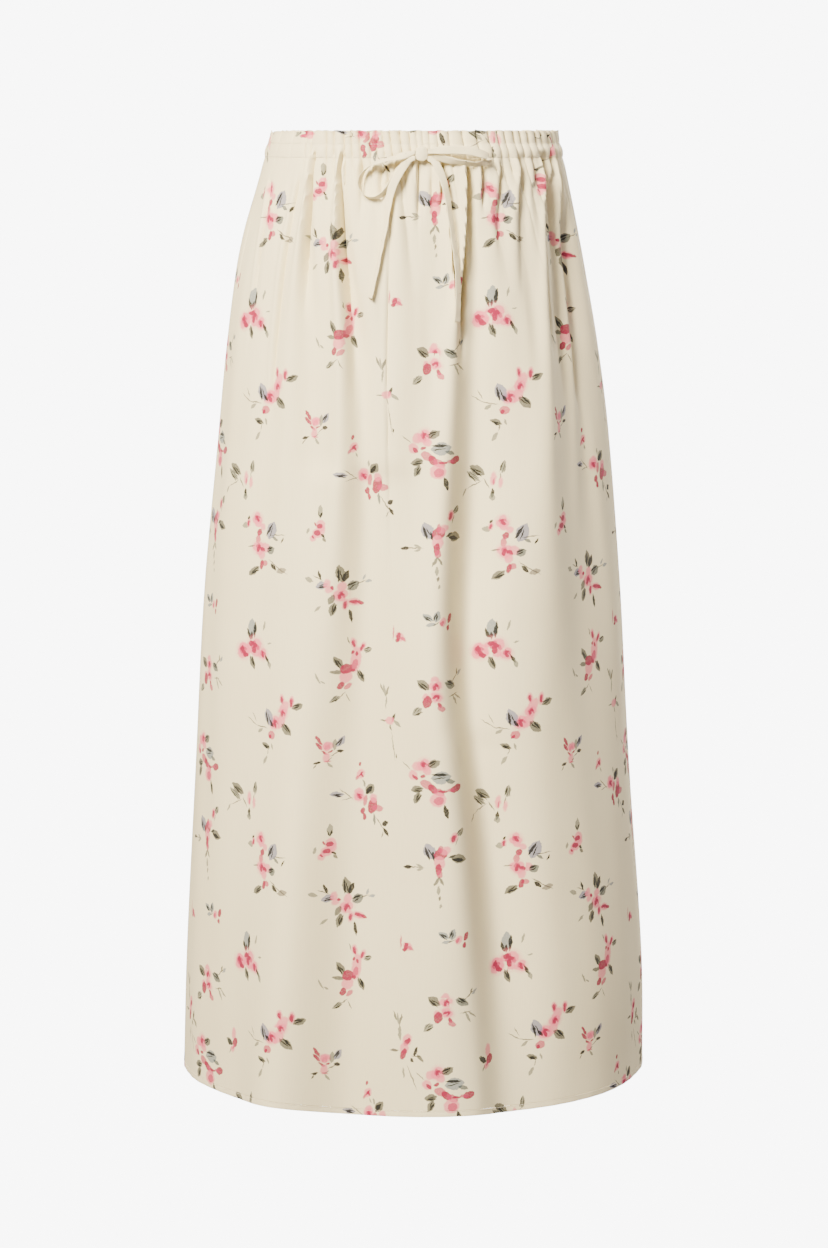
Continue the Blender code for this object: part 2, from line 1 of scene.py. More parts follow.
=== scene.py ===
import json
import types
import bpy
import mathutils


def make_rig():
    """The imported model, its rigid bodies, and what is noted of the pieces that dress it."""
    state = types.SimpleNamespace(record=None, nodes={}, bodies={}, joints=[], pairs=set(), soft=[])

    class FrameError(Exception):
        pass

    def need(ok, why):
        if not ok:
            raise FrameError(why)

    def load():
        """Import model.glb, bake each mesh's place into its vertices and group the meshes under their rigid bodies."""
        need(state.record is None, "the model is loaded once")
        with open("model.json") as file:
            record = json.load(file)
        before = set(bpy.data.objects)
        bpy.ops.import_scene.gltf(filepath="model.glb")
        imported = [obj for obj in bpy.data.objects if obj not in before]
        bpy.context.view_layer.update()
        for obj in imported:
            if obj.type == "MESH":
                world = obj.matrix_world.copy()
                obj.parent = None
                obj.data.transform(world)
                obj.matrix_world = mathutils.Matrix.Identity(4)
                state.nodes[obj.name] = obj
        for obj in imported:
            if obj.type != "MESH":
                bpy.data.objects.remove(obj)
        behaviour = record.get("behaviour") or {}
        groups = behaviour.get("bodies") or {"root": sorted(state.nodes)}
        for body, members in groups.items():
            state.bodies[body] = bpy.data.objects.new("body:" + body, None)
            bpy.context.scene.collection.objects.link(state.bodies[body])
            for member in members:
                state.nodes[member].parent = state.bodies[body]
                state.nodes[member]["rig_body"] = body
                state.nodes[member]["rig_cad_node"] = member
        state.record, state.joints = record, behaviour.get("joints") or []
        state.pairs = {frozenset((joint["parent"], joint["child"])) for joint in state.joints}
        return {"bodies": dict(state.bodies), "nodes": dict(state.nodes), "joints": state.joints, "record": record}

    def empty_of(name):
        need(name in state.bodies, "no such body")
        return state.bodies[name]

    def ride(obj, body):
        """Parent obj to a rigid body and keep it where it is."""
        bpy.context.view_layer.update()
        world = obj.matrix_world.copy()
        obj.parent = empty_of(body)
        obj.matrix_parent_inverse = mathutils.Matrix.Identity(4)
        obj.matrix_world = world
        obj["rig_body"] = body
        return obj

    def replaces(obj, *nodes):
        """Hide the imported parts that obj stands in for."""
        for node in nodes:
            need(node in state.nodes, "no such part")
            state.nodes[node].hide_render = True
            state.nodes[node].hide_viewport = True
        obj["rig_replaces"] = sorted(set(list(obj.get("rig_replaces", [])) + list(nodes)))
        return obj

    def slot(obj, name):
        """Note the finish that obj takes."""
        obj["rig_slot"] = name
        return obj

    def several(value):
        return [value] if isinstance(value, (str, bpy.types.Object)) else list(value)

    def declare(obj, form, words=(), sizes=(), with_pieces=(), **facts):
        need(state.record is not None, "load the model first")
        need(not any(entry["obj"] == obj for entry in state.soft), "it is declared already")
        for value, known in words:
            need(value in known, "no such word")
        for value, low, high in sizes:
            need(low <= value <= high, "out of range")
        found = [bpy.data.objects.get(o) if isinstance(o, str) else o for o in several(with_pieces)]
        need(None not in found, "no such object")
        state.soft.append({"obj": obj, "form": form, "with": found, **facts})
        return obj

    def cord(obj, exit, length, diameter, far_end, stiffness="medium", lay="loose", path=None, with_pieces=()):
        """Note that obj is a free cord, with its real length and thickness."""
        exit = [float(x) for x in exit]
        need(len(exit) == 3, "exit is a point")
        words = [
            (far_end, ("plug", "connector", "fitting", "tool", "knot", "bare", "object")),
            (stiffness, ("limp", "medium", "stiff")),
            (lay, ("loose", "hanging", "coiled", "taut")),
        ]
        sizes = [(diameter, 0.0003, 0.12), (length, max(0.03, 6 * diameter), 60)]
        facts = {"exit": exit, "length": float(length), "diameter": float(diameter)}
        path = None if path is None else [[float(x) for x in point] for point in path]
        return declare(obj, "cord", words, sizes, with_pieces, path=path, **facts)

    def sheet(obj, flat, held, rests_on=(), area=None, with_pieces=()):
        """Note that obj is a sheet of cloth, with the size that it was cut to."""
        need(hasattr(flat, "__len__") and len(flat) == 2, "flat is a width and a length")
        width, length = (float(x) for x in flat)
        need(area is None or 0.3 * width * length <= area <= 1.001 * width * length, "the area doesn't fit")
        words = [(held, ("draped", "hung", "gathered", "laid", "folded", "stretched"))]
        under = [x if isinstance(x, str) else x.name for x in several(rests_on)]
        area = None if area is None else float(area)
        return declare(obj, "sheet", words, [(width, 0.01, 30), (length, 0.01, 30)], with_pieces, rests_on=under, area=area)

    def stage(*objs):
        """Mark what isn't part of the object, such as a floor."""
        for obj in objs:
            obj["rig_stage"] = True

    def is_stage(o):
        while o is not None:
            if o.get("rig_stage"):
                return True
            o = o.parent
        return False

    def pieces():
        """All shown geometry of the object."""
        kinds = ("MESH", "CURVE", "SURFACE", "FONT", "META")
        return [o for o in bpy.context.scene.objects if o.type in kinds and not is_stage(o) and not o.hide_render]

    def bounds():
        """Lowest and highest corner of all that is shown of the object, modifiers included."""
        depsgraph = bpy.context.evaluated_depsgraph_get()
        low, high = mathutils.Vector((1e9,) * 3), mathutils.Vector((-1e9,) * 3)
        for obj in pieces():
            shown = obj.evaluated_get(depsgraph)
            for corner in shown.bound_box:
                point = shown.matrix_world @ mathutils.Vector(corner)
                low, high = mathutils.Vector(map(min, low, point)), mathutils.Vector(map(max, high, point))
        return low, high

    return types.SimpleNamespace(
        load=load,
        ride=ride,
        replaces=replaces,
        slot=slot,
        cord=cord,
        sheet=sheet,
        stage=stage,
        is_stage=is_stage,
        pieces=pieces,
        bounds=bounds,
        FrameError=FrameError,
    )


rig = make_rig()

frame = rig.load()

import json
import math

import bmesh
import bpy
import numpy as np
from mathutils import Vector

# A long gathered skirt, filled out and hollow. Lengths are in mm, except for the camera, lamps and stage.
# The front faces -Y. A turn is in degrees round the body: 0 front, 90 at +X, 180 back, -90 at -X.

mm = 0.001
startBox = [[float(v) for v in corner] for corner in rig.bounds()]


def deselectAll():
    if bpy.context.mode != "OBJECT":
        bpy.ops.object.mode_set(mode="OBJECT")
    bpy.ops.object.select_all(action="DESELECT")


def pick(piece):
    deselectAll()
    piece.select_set(True)
    bpy.context.view_layer.objects.active = piece


def linked(name, mesh):
    mesh.shade_smooth()
    piece = bpy.data.objects.new(name, mesh)
    bpy.context.scene.collection.objects.link(piece)
    return piece


def applyAll(piece):
    pick(piece)
    for modifier in list(piece.modifiers):
        bpy.ops.object.modifier_apply(modifier=modifier.name)


# camera, light and stage, all in metres

view = {"place": (0.0015, -3.0, 0.0195), "down": 9.39, "lens": 86.16, "sensor": 36.0, "near": 0.05}
lamps = {
    # name: place, width, power, colour, what it looks at
    "keyLamp": ((-1.15, -1.98, 1.5), 1.0, 404.0, (1.0, 0.893, 0.676), (0.0, 0.0, -0.45)),
    "rimLamp": ((2.25, 1.15, 0.75), 1.2, 62.0, (1.0, 0.93, 0.82), (0.1, 0.0, -0.35)),
    "fillLamp": ((2.6, -2.6, -0.6), 2.4, 31.0, (1.0, 0.97, 0.95), (0.0, 0.0, -0.75)),
    "backLamp": ((0.9, 3.2, 1.6), 2.4, 320.0, (1.0, 0.93, 0.80), (0.0, 0.0, -0.45)),
}
stage = {"floor": -1.06, "radius": 9.0, "shade": 8.4, "ambient": 0.33, "tint": (1.08, 0.92, 0.81, 1)}


def addCamera():
    deselectAll()
    bpy.ops.object.camera_add(location=view["place"], rotation=(math.radians(90 - view["down"]), 0, 0))
    camera = bpy.context.object
    camera.data.lens = view["lens"]
    camera.data.sensor_width = view["sensor"]
    camera.data.clip_start = view["near"]
    bpy.context.scene.camera = camera


def addLamps():
    for name, (place, width, power, colour, target) in lamps.items():
        bpy.ops.object.light_add(type="AREA", location=place)
        lamp = bpy.context.object
        lamp.name = name
        lamp.data.size = width
        lamp.data.energy = power
        lamp.data.color = colour
        away = Vector(target) - Vector(place)
        lamp.rotation_euler = away.to_track_quat("-Z", "Y").to_euler()
    world = bpy.data.worlds.new("studio")
    world.use_nodes = True
    sky = world.node_tree.nodes["Background"]
    sky.inputs["Color"].default_value = stage["tint"]
    sky.inputs["Strength"].default_value = stage["ambient"]
    bpy.context.scene.world = world


def paleMaterial(name):
    made = bpy.data.materials.new(name)
    made.use_nodes = True
    inputs = made.node_tree.nodes["Principled BSDF"].inputs
    inputs["Base Color"].default_value = (0.02, 0.02, 0.02, 1)
    inputs["Roughness"].default_value = 1.0
    inputs["Specular IOR Level"].default_value = 0.0
    inputs["Emission Color"].default_value = (1, 1, 1, 1)
    inputs["Emission Strength"].default_value = stage["shade"]
    return made


def addStage():
    pale = paleMaterial("paleStudio")
    deselectAll()
    bpy.ops.mesh.primitive_cylinder_add(
        vertices=96, radius=stage["radius"] - 0.5, depth=0.02, location=(0, 0, stage["floor"] - 0.01)
    )
    floor = bpy.context.object
    floor.name = "studioFloor"
    deselectAll()
    bpy.ops.mesh.primitive_uv_sphere_add(segments=64, ring_count=32, radius=stage["radius"])
    dome = bpy.context.object
    dome.name = "studioDome"
    dome.visible_transmission = False
    dome.visible_shadow = False
    for piece in (floor, dome):
        piece.visible_diffuse = False
        piece.visible_glossy = False
        piece.data.materials.append(pale)
        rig.stage(piece)


addCamera()
addLamps()
addStage()
print("camera, lamps and stage made")

# the tie: flat cloth tubes on the routes of their solids

# the tie is narrow at the knot, opens over a length, and is pleated for a shorter one
tie = {"width": 8.0, "wall": 1.15, "atKnot": 4.4, "pitch": 1.5, "sides": 16, "opens": 16.0, "pleated": 9.0}
fineSteps = 800
# across, depth, height, and the way the width lies
tieRoutes = {
    "bowLoopRight": (
        (14.6, -109.1, -1, 0, 0, 1), (26, -110.4, 0.6, 0, 0.1, 1), (40.6, -110.1, 0.9, 0, 0.1, 1),
        (55, -108.8, -0.2, -0.1, 0.1, 1), (66, -105.5, -2.8, -0.2, 0.1, 1),
        (73, -99.8, -6.4, -0.3, -0.1, 0.95), (71, -99.2, -10.2, -0.2, -0.5, 0.8),
        (62, -101.1, -12.6, 0.1, -0.75, 0.6), (50.2, -104.8, -11.8, 0.1, -0.75, 0.6),
        (36, -106.9, -9.2, 0.1, -0.55, 0.8), (24, -106.7, -6.2, 0, -0.3, 0.95),
        (14.6, -106.5, -4.2, 0, 0, 1),
    ),
    "bowLoopLeft": (
        (3, -109.6, -1.4, 0, 0, 1), (-5, -111.6, -3.6, 0.1, 0.35, 0.95),
        (-14.5, -113.3, -6.2, 0.2, 0.75, 0.6), (-26, -113.1, -8.7, 0.25, 0.85, 0.5),
        (-38, -110.2, -12.6, 0.35, 0.85, 0.4), (-47, -107.7, -20.2, 0.5, 0.85, 0.15),
        (-51, -107.6, -31, 0.45, 0.9, 0), (-48.2, -109.3, -40, 0.3, 0.92, -0.2),
        (-40.4, -111.3, -44.6, 0.1, 0.92, -0.35), (-31, -112.3, -42.6, 0.3, 0.8, -0.4),
        (-22.8, -111.5, -34.6, 0.6, 0.6, -0.5), (-16, -110.3, -24, 0.8, 0.25, -0.5),
        (-8.6, -107.9, -13.6, 0.75, 0, -0.65), (-2, -107.3, -7.2, 0.4, 0, -0.9),
        (3, -107.1, -4.4, 0, 0, -1),
    ),
    "tieEndLeft": (
        (3, -110.5, -6.7, 0, 0, 1), (-3, -111.7, -9, -0.35, 0.05, 0.95), (-9, -113, -15.3, -0.8, 0.1, 0.6),
        (-14.8, -114.8, -24.8, -0.9, 0.1, 0.45), (-19.6, -115.1, -35.2, -0.93, 0.2, 0.3),
        (-22.5, -115, -46.5, -0.85, 0.5, 0.1), (-24.2, -116.4, -59.8, -0.6, 0.8, 0.05),
        (-25.8, -118, -73, -0.42, 0.9, 0.1), (-30.2, -119.5, -94, -0.38, 0.92, 0.1),
        (-35, -120.9, -116.9, -0.38, 0.92, 0.1), (-40.6, -121.9, -139.9, -0.42, 0.9, 0.1),
    ),
    "tieEndRight": (
        (14.6, -109.2, -7.4, 0, 0, 1), (20.4, -109.7, -10.4, 0.45, 0.2, 0.85),
        (26, -111, -19, 0.8, 0.4, 0.45), (30.6, -112.1, -31.4, 0.75, 0.6, 0.25),
        (33.6, -113.3, -44.6, 0.65, 0.75, 0.15), (36, -115.4, -59.8, 0.6, 0.8, 0.1),
        (38.9, -117.5, -78.8, 0.6, 0.8, 0.1), (41.8, -119.2, -99.8, 0.6, 0.8, 0.1),
        (43.6, -122.6, -122, 0.6, 0.8, 0), (43.8, -125, -142, 0.65, 0.75, 0),
        (42.9, -127.3, -162.4, 0.7, 0.7, 0),
    ),
}
tieNodes = {
    "bowLoopRight": "bow_loop_right",
    "bowLoopLeft": "bow_loop_left",
    "tieEndLeft": "tie_end_left",
    "tieEndRight": "tie_end_right",
}


def through(points, t):
    # a point on a Catmull-Rom curve through the rows of points, t from 0 to 1
    last = len(points) - 1
    i = min(int(t * last), last - 1)
    f = t * last - i
    a, b, c, d = (points[min(max(n, 0), last)] for n in (i - 1, i, i + 1, i + 2))
    return 0.5 * (2 * b + (c - a) * f + (2 * a - 5 * b + 4 * c - d) * f**2 + (3 * b - a - 3 * c + d) * f**3)


def evenly(route, pitch):
    points = np.array(route)
    fine = np.array([through(points, n / fineSteps) for n in range(fineSteps + 1)])
    run = np.concatenate([[0], np.cumsum(np.linalg.norm(np.diff(fine[:, :3], axis=0), axis=1))])
    count = round(run[-1] / pitch)
    wanted = np.linspace(0, run[-1], count + 1)
    rows = np.stack([np.interp(wanted, run, fine[:, k]) for k in range(6)], axis=1)
    return rows, wanted


def ease(t):
    t = np.clip(t, 0.0, 1.0)
    return t * t * (3 - 2 * t)


def tieMesh(name, route, loop):
    rows, run = evenly(route, tie["pitch"])
    whole = run[-1]
    bm = bmesh.new()
    mapLayer = bm.loops.layers.uv.new("cloth")
    sides = tie["sides"]
    rings = []
    for n, row in enumerate(rows):
        ahead = rows[min(n + 1, len(rows) - 1), :3] - rows[max(n - 1, 0), :3]
        if n == 0 or (loop and n == len(rows) - 1):
            ahead = np.array([math.copysign(1.0, ahead[0]), 0.0, 0.0])
        ahead = ahead / np.linalg.norm(ahead)
        side = row[3:] - ahead * row[3:].dot(ahead)
        side = side / np.linalg.norm(side)
        face = np.cross(ahead, side)
        fromKnot = min(run[n], whole - run[n]) if loop else run[n]
        half = (tie["atKnot"] + (tie["width"] - tie["atKnot"]) * float(ease(fromKnot / tie["opens"]))) / 2
        near = float(np.exp(-fromKnot / tie["pleated"]))
        thick = tie["wall"] / 2 * (1 + 0.9 * near)
        ring = []
        for k in range(sides):
            angle = 2 * math.pi * k / sides
            across, up = math.cos(angle), math.sin(angle)
            flat = math.copysign(abs(across) ** 0.55, across) * half
            rise = math.copysign(abs(up) ** 0.75, up) * thick
            rise *= 1 - 0.22 * (1 - abs(across)) ** 2  # the turned-in edges stand a little proud
            wave = 0.22 * math.sin(run[n] * 0.31 + 0.8 * math.sin(run[n] * 0.13)) * (flat / half)
            wave += 0.35 * near * math.cos(flat / half * 7.0)
            ring.append(bm.verts.new((row[:3] + side * flat + face * (rise + wave)) * mm))
        rings.append(ring)
    for n, (low, high) in enumerate(zip(rings, rings[1:])):
        for k in range(sides):
            b = (k + 1) % sides
            made = bm.faces.new((low[k], low[b], high[b], high[k]))
            for corner, (along, around) in zip(made.loops, ((n, k), (n, k + 1), (n + 1, k + 1), (n + 1, k))):
                corner[mapLayer].uv = (around * 1.1, run[along])
    for ring, flip in ((rings[0], True), (rings[-1], False)):
        middle = bm.verts.new(sum((v.co for v in ring), Vector()) / sides)
        for k in range(sides):
            face = (ring[k], ring[(k + 1) % sides], middle)
            bm.faces.new(face[::-1] if flip else face)
    mesh = bpy.data.meshes.new(name)
    bm.to_mesh(mesh)
    bm.free()
    return linked(name, mesh), [tuple(float(v) * mm for v in row[:3]) for row in rows], whole * mm


tiePieces = {}
for name, route in tieRoutes.items():
    loop = "Loop" in name
    piece, path, length = tieMesh(name, route, loop)
    tiePieces[name] = piece
    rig.ride(piece, "root")
    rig.replaces(piece, tieNodes[name])
    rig.slot(piece, "tie_cloth")
    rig.cord(
        piece,
        exit=path[0],
        length=length,
        diameter=tie["width"] * mm,
        far_end="object" if loop else "bare",
        stiffness="limp",
        lay="loose" if loop else "hanging",
        path=path[:: max(1, len(path) // 40)] + [path[-1]],
    )
print("tie made")

# the form of the cloth
# height, left, right, front, back
sections = np.array((
    (19.5, 139, 141, 99, 99), (8, 142, 143.5, 101, 101), (-8, 146, 147.5, 103.5, 104.5),
    (-40, 155.5, 155.5, 108, 112), (-80, 167.5, 164.5, 113, 121), (-120, 176, 172.5, 117, 129),
    (-200, 187, 186.8, 124, 139), (-280, 195, 197.3, 130, 144), (-440, 210.5, 210.8, 141, 152),
    (-630, 222.5, 223, 154, 162), (-820, 235, 234.8, 168, 172), (-940, 240.5, 235, 176, 178),
))
stations = np.array([-20.0, -80.0, -200.0, -500.0, -940.0])
# name: top, foot, lean, then turn, deep, wide and the valley's share of wide at the five stations;
# a row that stops early keeps its last value
folds = {
    "main": (
        -6, -2000, 1, (20, 18.3, 13.8, 10.6, 18), (17, 18, 19, 36, 16),
        (1.9, 2.8, 8.8, 21, 30), (1.6, 1.8, 2.2, 0.8, 1.4)
    ),
    "mainLow": (-560, -2000, 1, (12, 12, 12, 11.6, 18.2), (0, 0, 0, 3, 6), (12, 12, 12, 12, 10.5), 2.2),
    "mainInner": (-6, -165, 1, (11.4, 13.2, 14), (5, 11, 4, 0), (2.6, 2.6, 3), 1.1),
    "mainShort": (-4, -66, 1, (10.6, 9.4, 9), (7.5, 3, 0), (2.6, 3), 1.1),
    "leftOfMiddle": (
        4, -640, 1, (-28, -24.7, -18.8, -17.6, -19), (9, 15, 14.5, 10, 0),
        (1.7, 3.8, 8, 14, 15), (0.7, 1.2)
    ),
    "lowFold": (
        -300, -2000, 1, (-16, -16, -16, -21.4, -26.4), (0, 0, 4, 20, 40),
        (24, 24, 24, 26, 33), 1.15
    ),
    "lowMiddle": (-420, -2000, 0, (-10, -10, -10, -10, -9), (0, 0, 0, 1, 8), (40, 40, 40, 40, 44), 1),
    "lowLeft": (-420, -2000, 0, (-57, -57, -57, -57, -59), (0, 0, 0, 1, 10.5), (90, 90, 90, 90, 88), 1),
    "rightBroad": (
        -60, -2000, 1, (52, 52, 53, 54, 64), (0, 0, 7, 12, 0),
        (40, 40, 42, 46), (1, 1, 0.8, 0.7)
    ),
    "crispLine": (
        -18, -470, 1, (-9.4, -7.7, -7.8, -5.5, -5), (5, 1.8, 1.8, 1.2, 0),
        (3, 2.6, 2.6, 4, 5), 1.2
    ),
    "softMiddle": (-6, -330, 1, (-5.4, -2.4, 0.1, -1), (4, 3, 4, 1, 0), (3.2, 6, 12, 14), 1.2),
    "leftGather": (
        4, -560, 1, (-40.6, -38.6, -35.8, -32, -30), (9, 11, 9, 4, 0),
        (1.7, 3.6, 11, 17, 18), (0.7, 1.2)
    ),
    "leftCrease": (-20, -290, 1, (-46.8, -46.6, -46.5, -46), (2, 4, 3.5, 1, 0), (2.6, 2.8, 3, 4), 1.2),
    "sideCrease": (-24, -210, 1, (-68, -61, -60.5, -60), (2.4, 2.6, 1.6, 0), (2.6, 2.6, 3.2, 4), 1.2),
    "shortA": (-4, -84, 1, (-19.6, -18), (4.2, 1, 0), (4, 5), 1.2),
    "shortB": (-4, -60, 1, (-12, -10.5, -10), (3.4, 1, 0), (4,), 0.8),
    "shortC": (-4, -80, 1, (1.7, 1.6), (5.5, 2, 0), (2.8, 3.4, 4), 1.2),
    "shortD": (-20, -70, 1, (6.4,), (2.6, 1, 0), (3, 4), 1.2),
    "shortE": (-6, -62, 1, (26, 24.6, 24), (8, 1.5, 0), (2.4, 3, 4), 1.2),
    "rightGather": (-6, -120, 1, (34.4, 29.6, 28, 27), (5.6, 1.2, 0), (3.4, 5, 6), 1.2),
    "rightLong": (0, -200, 1, (43.4, 38.8, 33.6, 32), (9, 4.4, 0.6, 0), (2.6, 6, 9), 1.4),
    "shortF": (-4, -45, 1, (51.2, 48, 45), (3, 1, 0), (4, 4, 5), 1.2),
    "rightDeep": (
        2, -760, 1, (57.4, 52.3, 46.4, 42, 46), (15, 17, 17, 9, 0),
        (1.9, 3.6, 9.4, 28, 34), (3, 6, 2.6, 1)
    ),
    "shortG": (2, -110, 1, (64.2, 60.6, 57), (9, 6, 0), (2.2, 2.6, 3), 1.3),
    "rightSide": (2, -620, 1, (69.6, 68.4, 62.6, 55), (9, 13, 11, 0), (2.8, 5, 7.4, 18, 20), 1.5),
    "sideEdge": (-10, -160, 1, (77, 74, 76, 84), (1.5, 1, 0), (4, 5), 1.2),
    "leftSide": (-40, -520, -1, (-66, -67, -68, -70, -72), (2, 2.4, 2, 1, 0), (9, 11, 16, 24, 30), 1.35),
    "backA": (
        -6, -2000, 1, (104, 108, 111, 114, 110), (6, 10, 12, 12, 11),
        (3, 4.5, 8, 18, 38), (1.4, 1.8, 1.6, 1)
    ),
    "backB": (-4, -230, 1, (122, 124, 125, 126), (6, 6.5, 5, 0), (3, 4, 7), 1.2),
    "backC": (-4, -420, -1, (139, 138, 137, 135, 133), (6, 8, 9, 3, 0), (3, 4.5, 8, 12), 1.3),
    "backD": (-4, -90, 1, (151, 149), (5, 3, 0), (3, 4, 5), 1.2),
    "backE": (
        -6, -2000, 1, (162, 159, 157, 154, 152), (8, 11, 13, 14, 12),
        (3, 4.5, 8, 15, 36), (1.5, 2, 1.8, 1)
    ),
    "backF": (-4, -150, -1, (174, 175, 176), (5.5, 4.5, 3, 0), (3, 4, 6), 1.2),
    "backG": (-4, -330, 1, (187, 185, 184, 182), (6, 7, 8, 1, 0), (3, 5, 8, 10), 1.3),
    "backH": (-4, -75, 1, (197, 198), (5, 2, 0), (3, 4, 5), 1.2),
    "backI": (
        -6, -2000, -1, (208, 206, 205, 203, 206), (8, 11, 12, 13, 12),
        (3, 4.5, 8, 16, 38), (1.5, 2, 1.8, 1)
    ),
    "backJ": (-4, -210, 1, (223, 225, 226), (6, 6, 5, 0), (3, 4, 7), 1.2),
    "backK": (-4, -480, -1, (238, 236, 234, 230, 228), (6, 8, 9, 4, 0), (3, 5, 9, 16), 1.3),
    "backL": (-4, -120, 1, (252, 250), (5, 4, 3, 0), (3, 4, 6), 1.2),
}
foldFade = 14.0
footFade = 0.45
sways = {"main": (-670.0, 120.0, 2.0)}  # where a fold's line strays: height, reach, degrees
# how much of the folds and of the pinches is in the calm form
calmShare = 0.55
calmPinch = 0.35
flowShare = 0.6
# slow waves all round: size, count, pitch, phase
flowWaves = ((0.9, 9, 160, 0), (0.7, 14, -210, 1.3), (0.5, 23, 120, 0.4))
# half the casing's height, and where the header and the hem lie
casingHalf = 6.8
header = {"foot": 7.1, "tall": 12.4}
hem = {"middle": -937.0, "half": 3.0}
# a narrow fold ends in a slot: how wide a fold may be to have one, over what change of width it comes in,
# where it lies, how sharp it is, and its depth as a share of the fold's
slot = {"until": 9.2, "over": 5, "place": 0.3, "sharp": 2.2, "power": 1.6}
slotShares = {"main": 1.4, "mainInner": 2.6, "rightDeep": 1.2, "rightSide": 2.4}

# pinched lines of the header: turn, depth, how far down the cloth it runs, slant in degrees per 10 mm
frontPinches = (
    (-90, 0.5, 20, 0), (-78, 0.4, 16, 0), (-66, 0.5, 20, 0.3), (-55, 0.5, 24, 0.3), (-46.3, 1.3, 40, 0.6),
    (-43.4, 1.1, 26, 0.6), (-35.7, 1.9, 60, 1.2), (-32.3, 1.4, 30, 0.9), (-27.7, 2.2, 70, 1.4),
    (-24.6, 1.5, 30, 1.1), (-21.3, 2, 55, 1.4), (-17, 1.6, 34, 1.2), (-14.3, 1.4, 26, 1),
    (-11.6, 1.5, 30, 1.2), (-8.7, 1.9, 48, 1.3), (-4.8, 2.1, 40, 1.2), (-1, 1.8, 60, 0.8),
    (1.7, 1.4, 30, 0.6), (3.9, 1.3, 26, 0.4), (6.6, 1.7, 44, 0.3), (9.7, 1.9, 40, 0.4),
    (14.2, 2.1, 66, 0.5), (19.8, 2.3, 50, 0.8), (25.7, 2.1, 60, 0.9), (31, 2.1, 44, 0.9),
    (35.2, 1.8, 60, 0.8), (38.6, 1.5, 34, 0.8), (43, 1.9, 66, 0.8), (46.8, 1.6, 40, 0.7),
    (50.9, 2, 62, 0.7), (55.9, 2, 70, 0.6), (60.2, 1.7, 56, 0.5), (66, 1.6, 70, 0.5), (71, 1.5, 60, 0.4),
    (77, 1.6, 60, 0.3), (83.5, 1.5, 50, 0.2),
)


def backPinches():
    found = []
    turn, n = 90.0, 0
    while turn < 266.0:
        deep = 1.7 + 0.5 * math.sin(2.3 * n) + 0.25 * math.sin(5.1 * n + 1)
        reach = 45 + 22 * math.sin(1.7 * n + 0.6)
        found.append((turn, deep, reach, 0.9 * math.sin(0.9 * n)))
        turn += 4.7 + 1.5 * math.sin(2.9 * n) + 0.8 * math.sin(4.7 * n + 2)
        n += 1
    return found


pinches = np.array(list(frontPinches) + backPinches() + [(270.0, 0.5, 20, 0.0)])
# how much of a pinch shows at each height above the foot of the casing
pinchShares = ((19.5, 1.45), (13.0, 1.45), (6.8, 1.0), (0.0, 1.25), (-6.8, 0.90))
deeperPinches = ((-24.0, 24.0, 0.9), (62.0, 26.0, 0.8))  # where they are deeper: turn, reach, by how much
# their slant about a height, how their width bears on their depth, and how fast they fade below the casing
pinch = {"middle": 13.0, "slant": -0.55, "usual": 3.4, "least": 0.62, "most": 1.25, "fade": 0.62}

# thin creases and soft swells of the cloth: turn at top and foot, top, foot, drop, half width, lean
creases = (
    (-76, -79.5, -52, -165, 0.9, 1.6, 0), (-66, -62, -60, -420, 1.6, 9, 1),
    (-52.5, -51, -12, -120, 1.3, 4, 1), (-56, -50, -330, -900, 1.6, 15, 1),
    (-31, -30, -40, -230, 1.5, 5, 1), (-24, -18, -55, -330, 1.6, 6, 1), (-38, -34, -260, -760, 1.7, 12, 1),
    (-14, -13, -18, -130, 1.6, 4.5, 1), (-8.5, -13, -20, -200, -3.6, 26, 0),
    (-10.5, -10, -60, -250, 1, 4, 1), (3.5, 4.6, -66, -330, 1.4, 5, 1), (-1, 3, -280, -700, 1.6, 11, 1),
    (9.3, 9.8, -12, -190, 1.4, 3.5, -1), (22, 20, -36, -210, 1.7, 4, 1), (25, 24.5, -150, -430, 1.5, 7, 1),
    (28.5, 30.5, -20, -150, 1.6, 4, 1), (38.5, 37.5, -40, -320, 2, 5.5, 1),
    (36, 40, -380, -930, 2.2, 18, 1), (49.5, 44, -14, -110, 1.8, 3.6, 1),
    (52, 53.5, -90, -330, 2.2, 5.5, 1), (64, 66.5, -20, -260, 2.4, 5, 1), (69.5, 72, -120, -480, 2.4, 7, 1),
    (80, 81.5, -20, -180, 1.8, 4, 1), (74, 76, -430, -930, 3, 20, 1), (97, 98, -20, -300, 2.2, 5, 1),
    (116, 118, -40, -380, 2.2, 6, 1), (131, 129, -16, -200, 1.8, 4, 1), (128, 131, -300, -900, 2.2, 18, -1),
    (145, 144, -30, -340, 2, 6, -1), (168, 166, -30, -300, 2.2, 6, 1), (172, 176, -330, -910, 2.2, 20, 1),
    (192, 190, -30, -240, 2, 5, -1), (215, 217, -20, -360, 2.2, 6, 1), (230, 232, -60, -300, 1.8, 5, 1),
    (222, 226, -380, -920, 2.2, 18, 1), (245, 243, -30, -260, 2, 5, -1), (258, 260, -40, -420, 2, 7, 1),
)


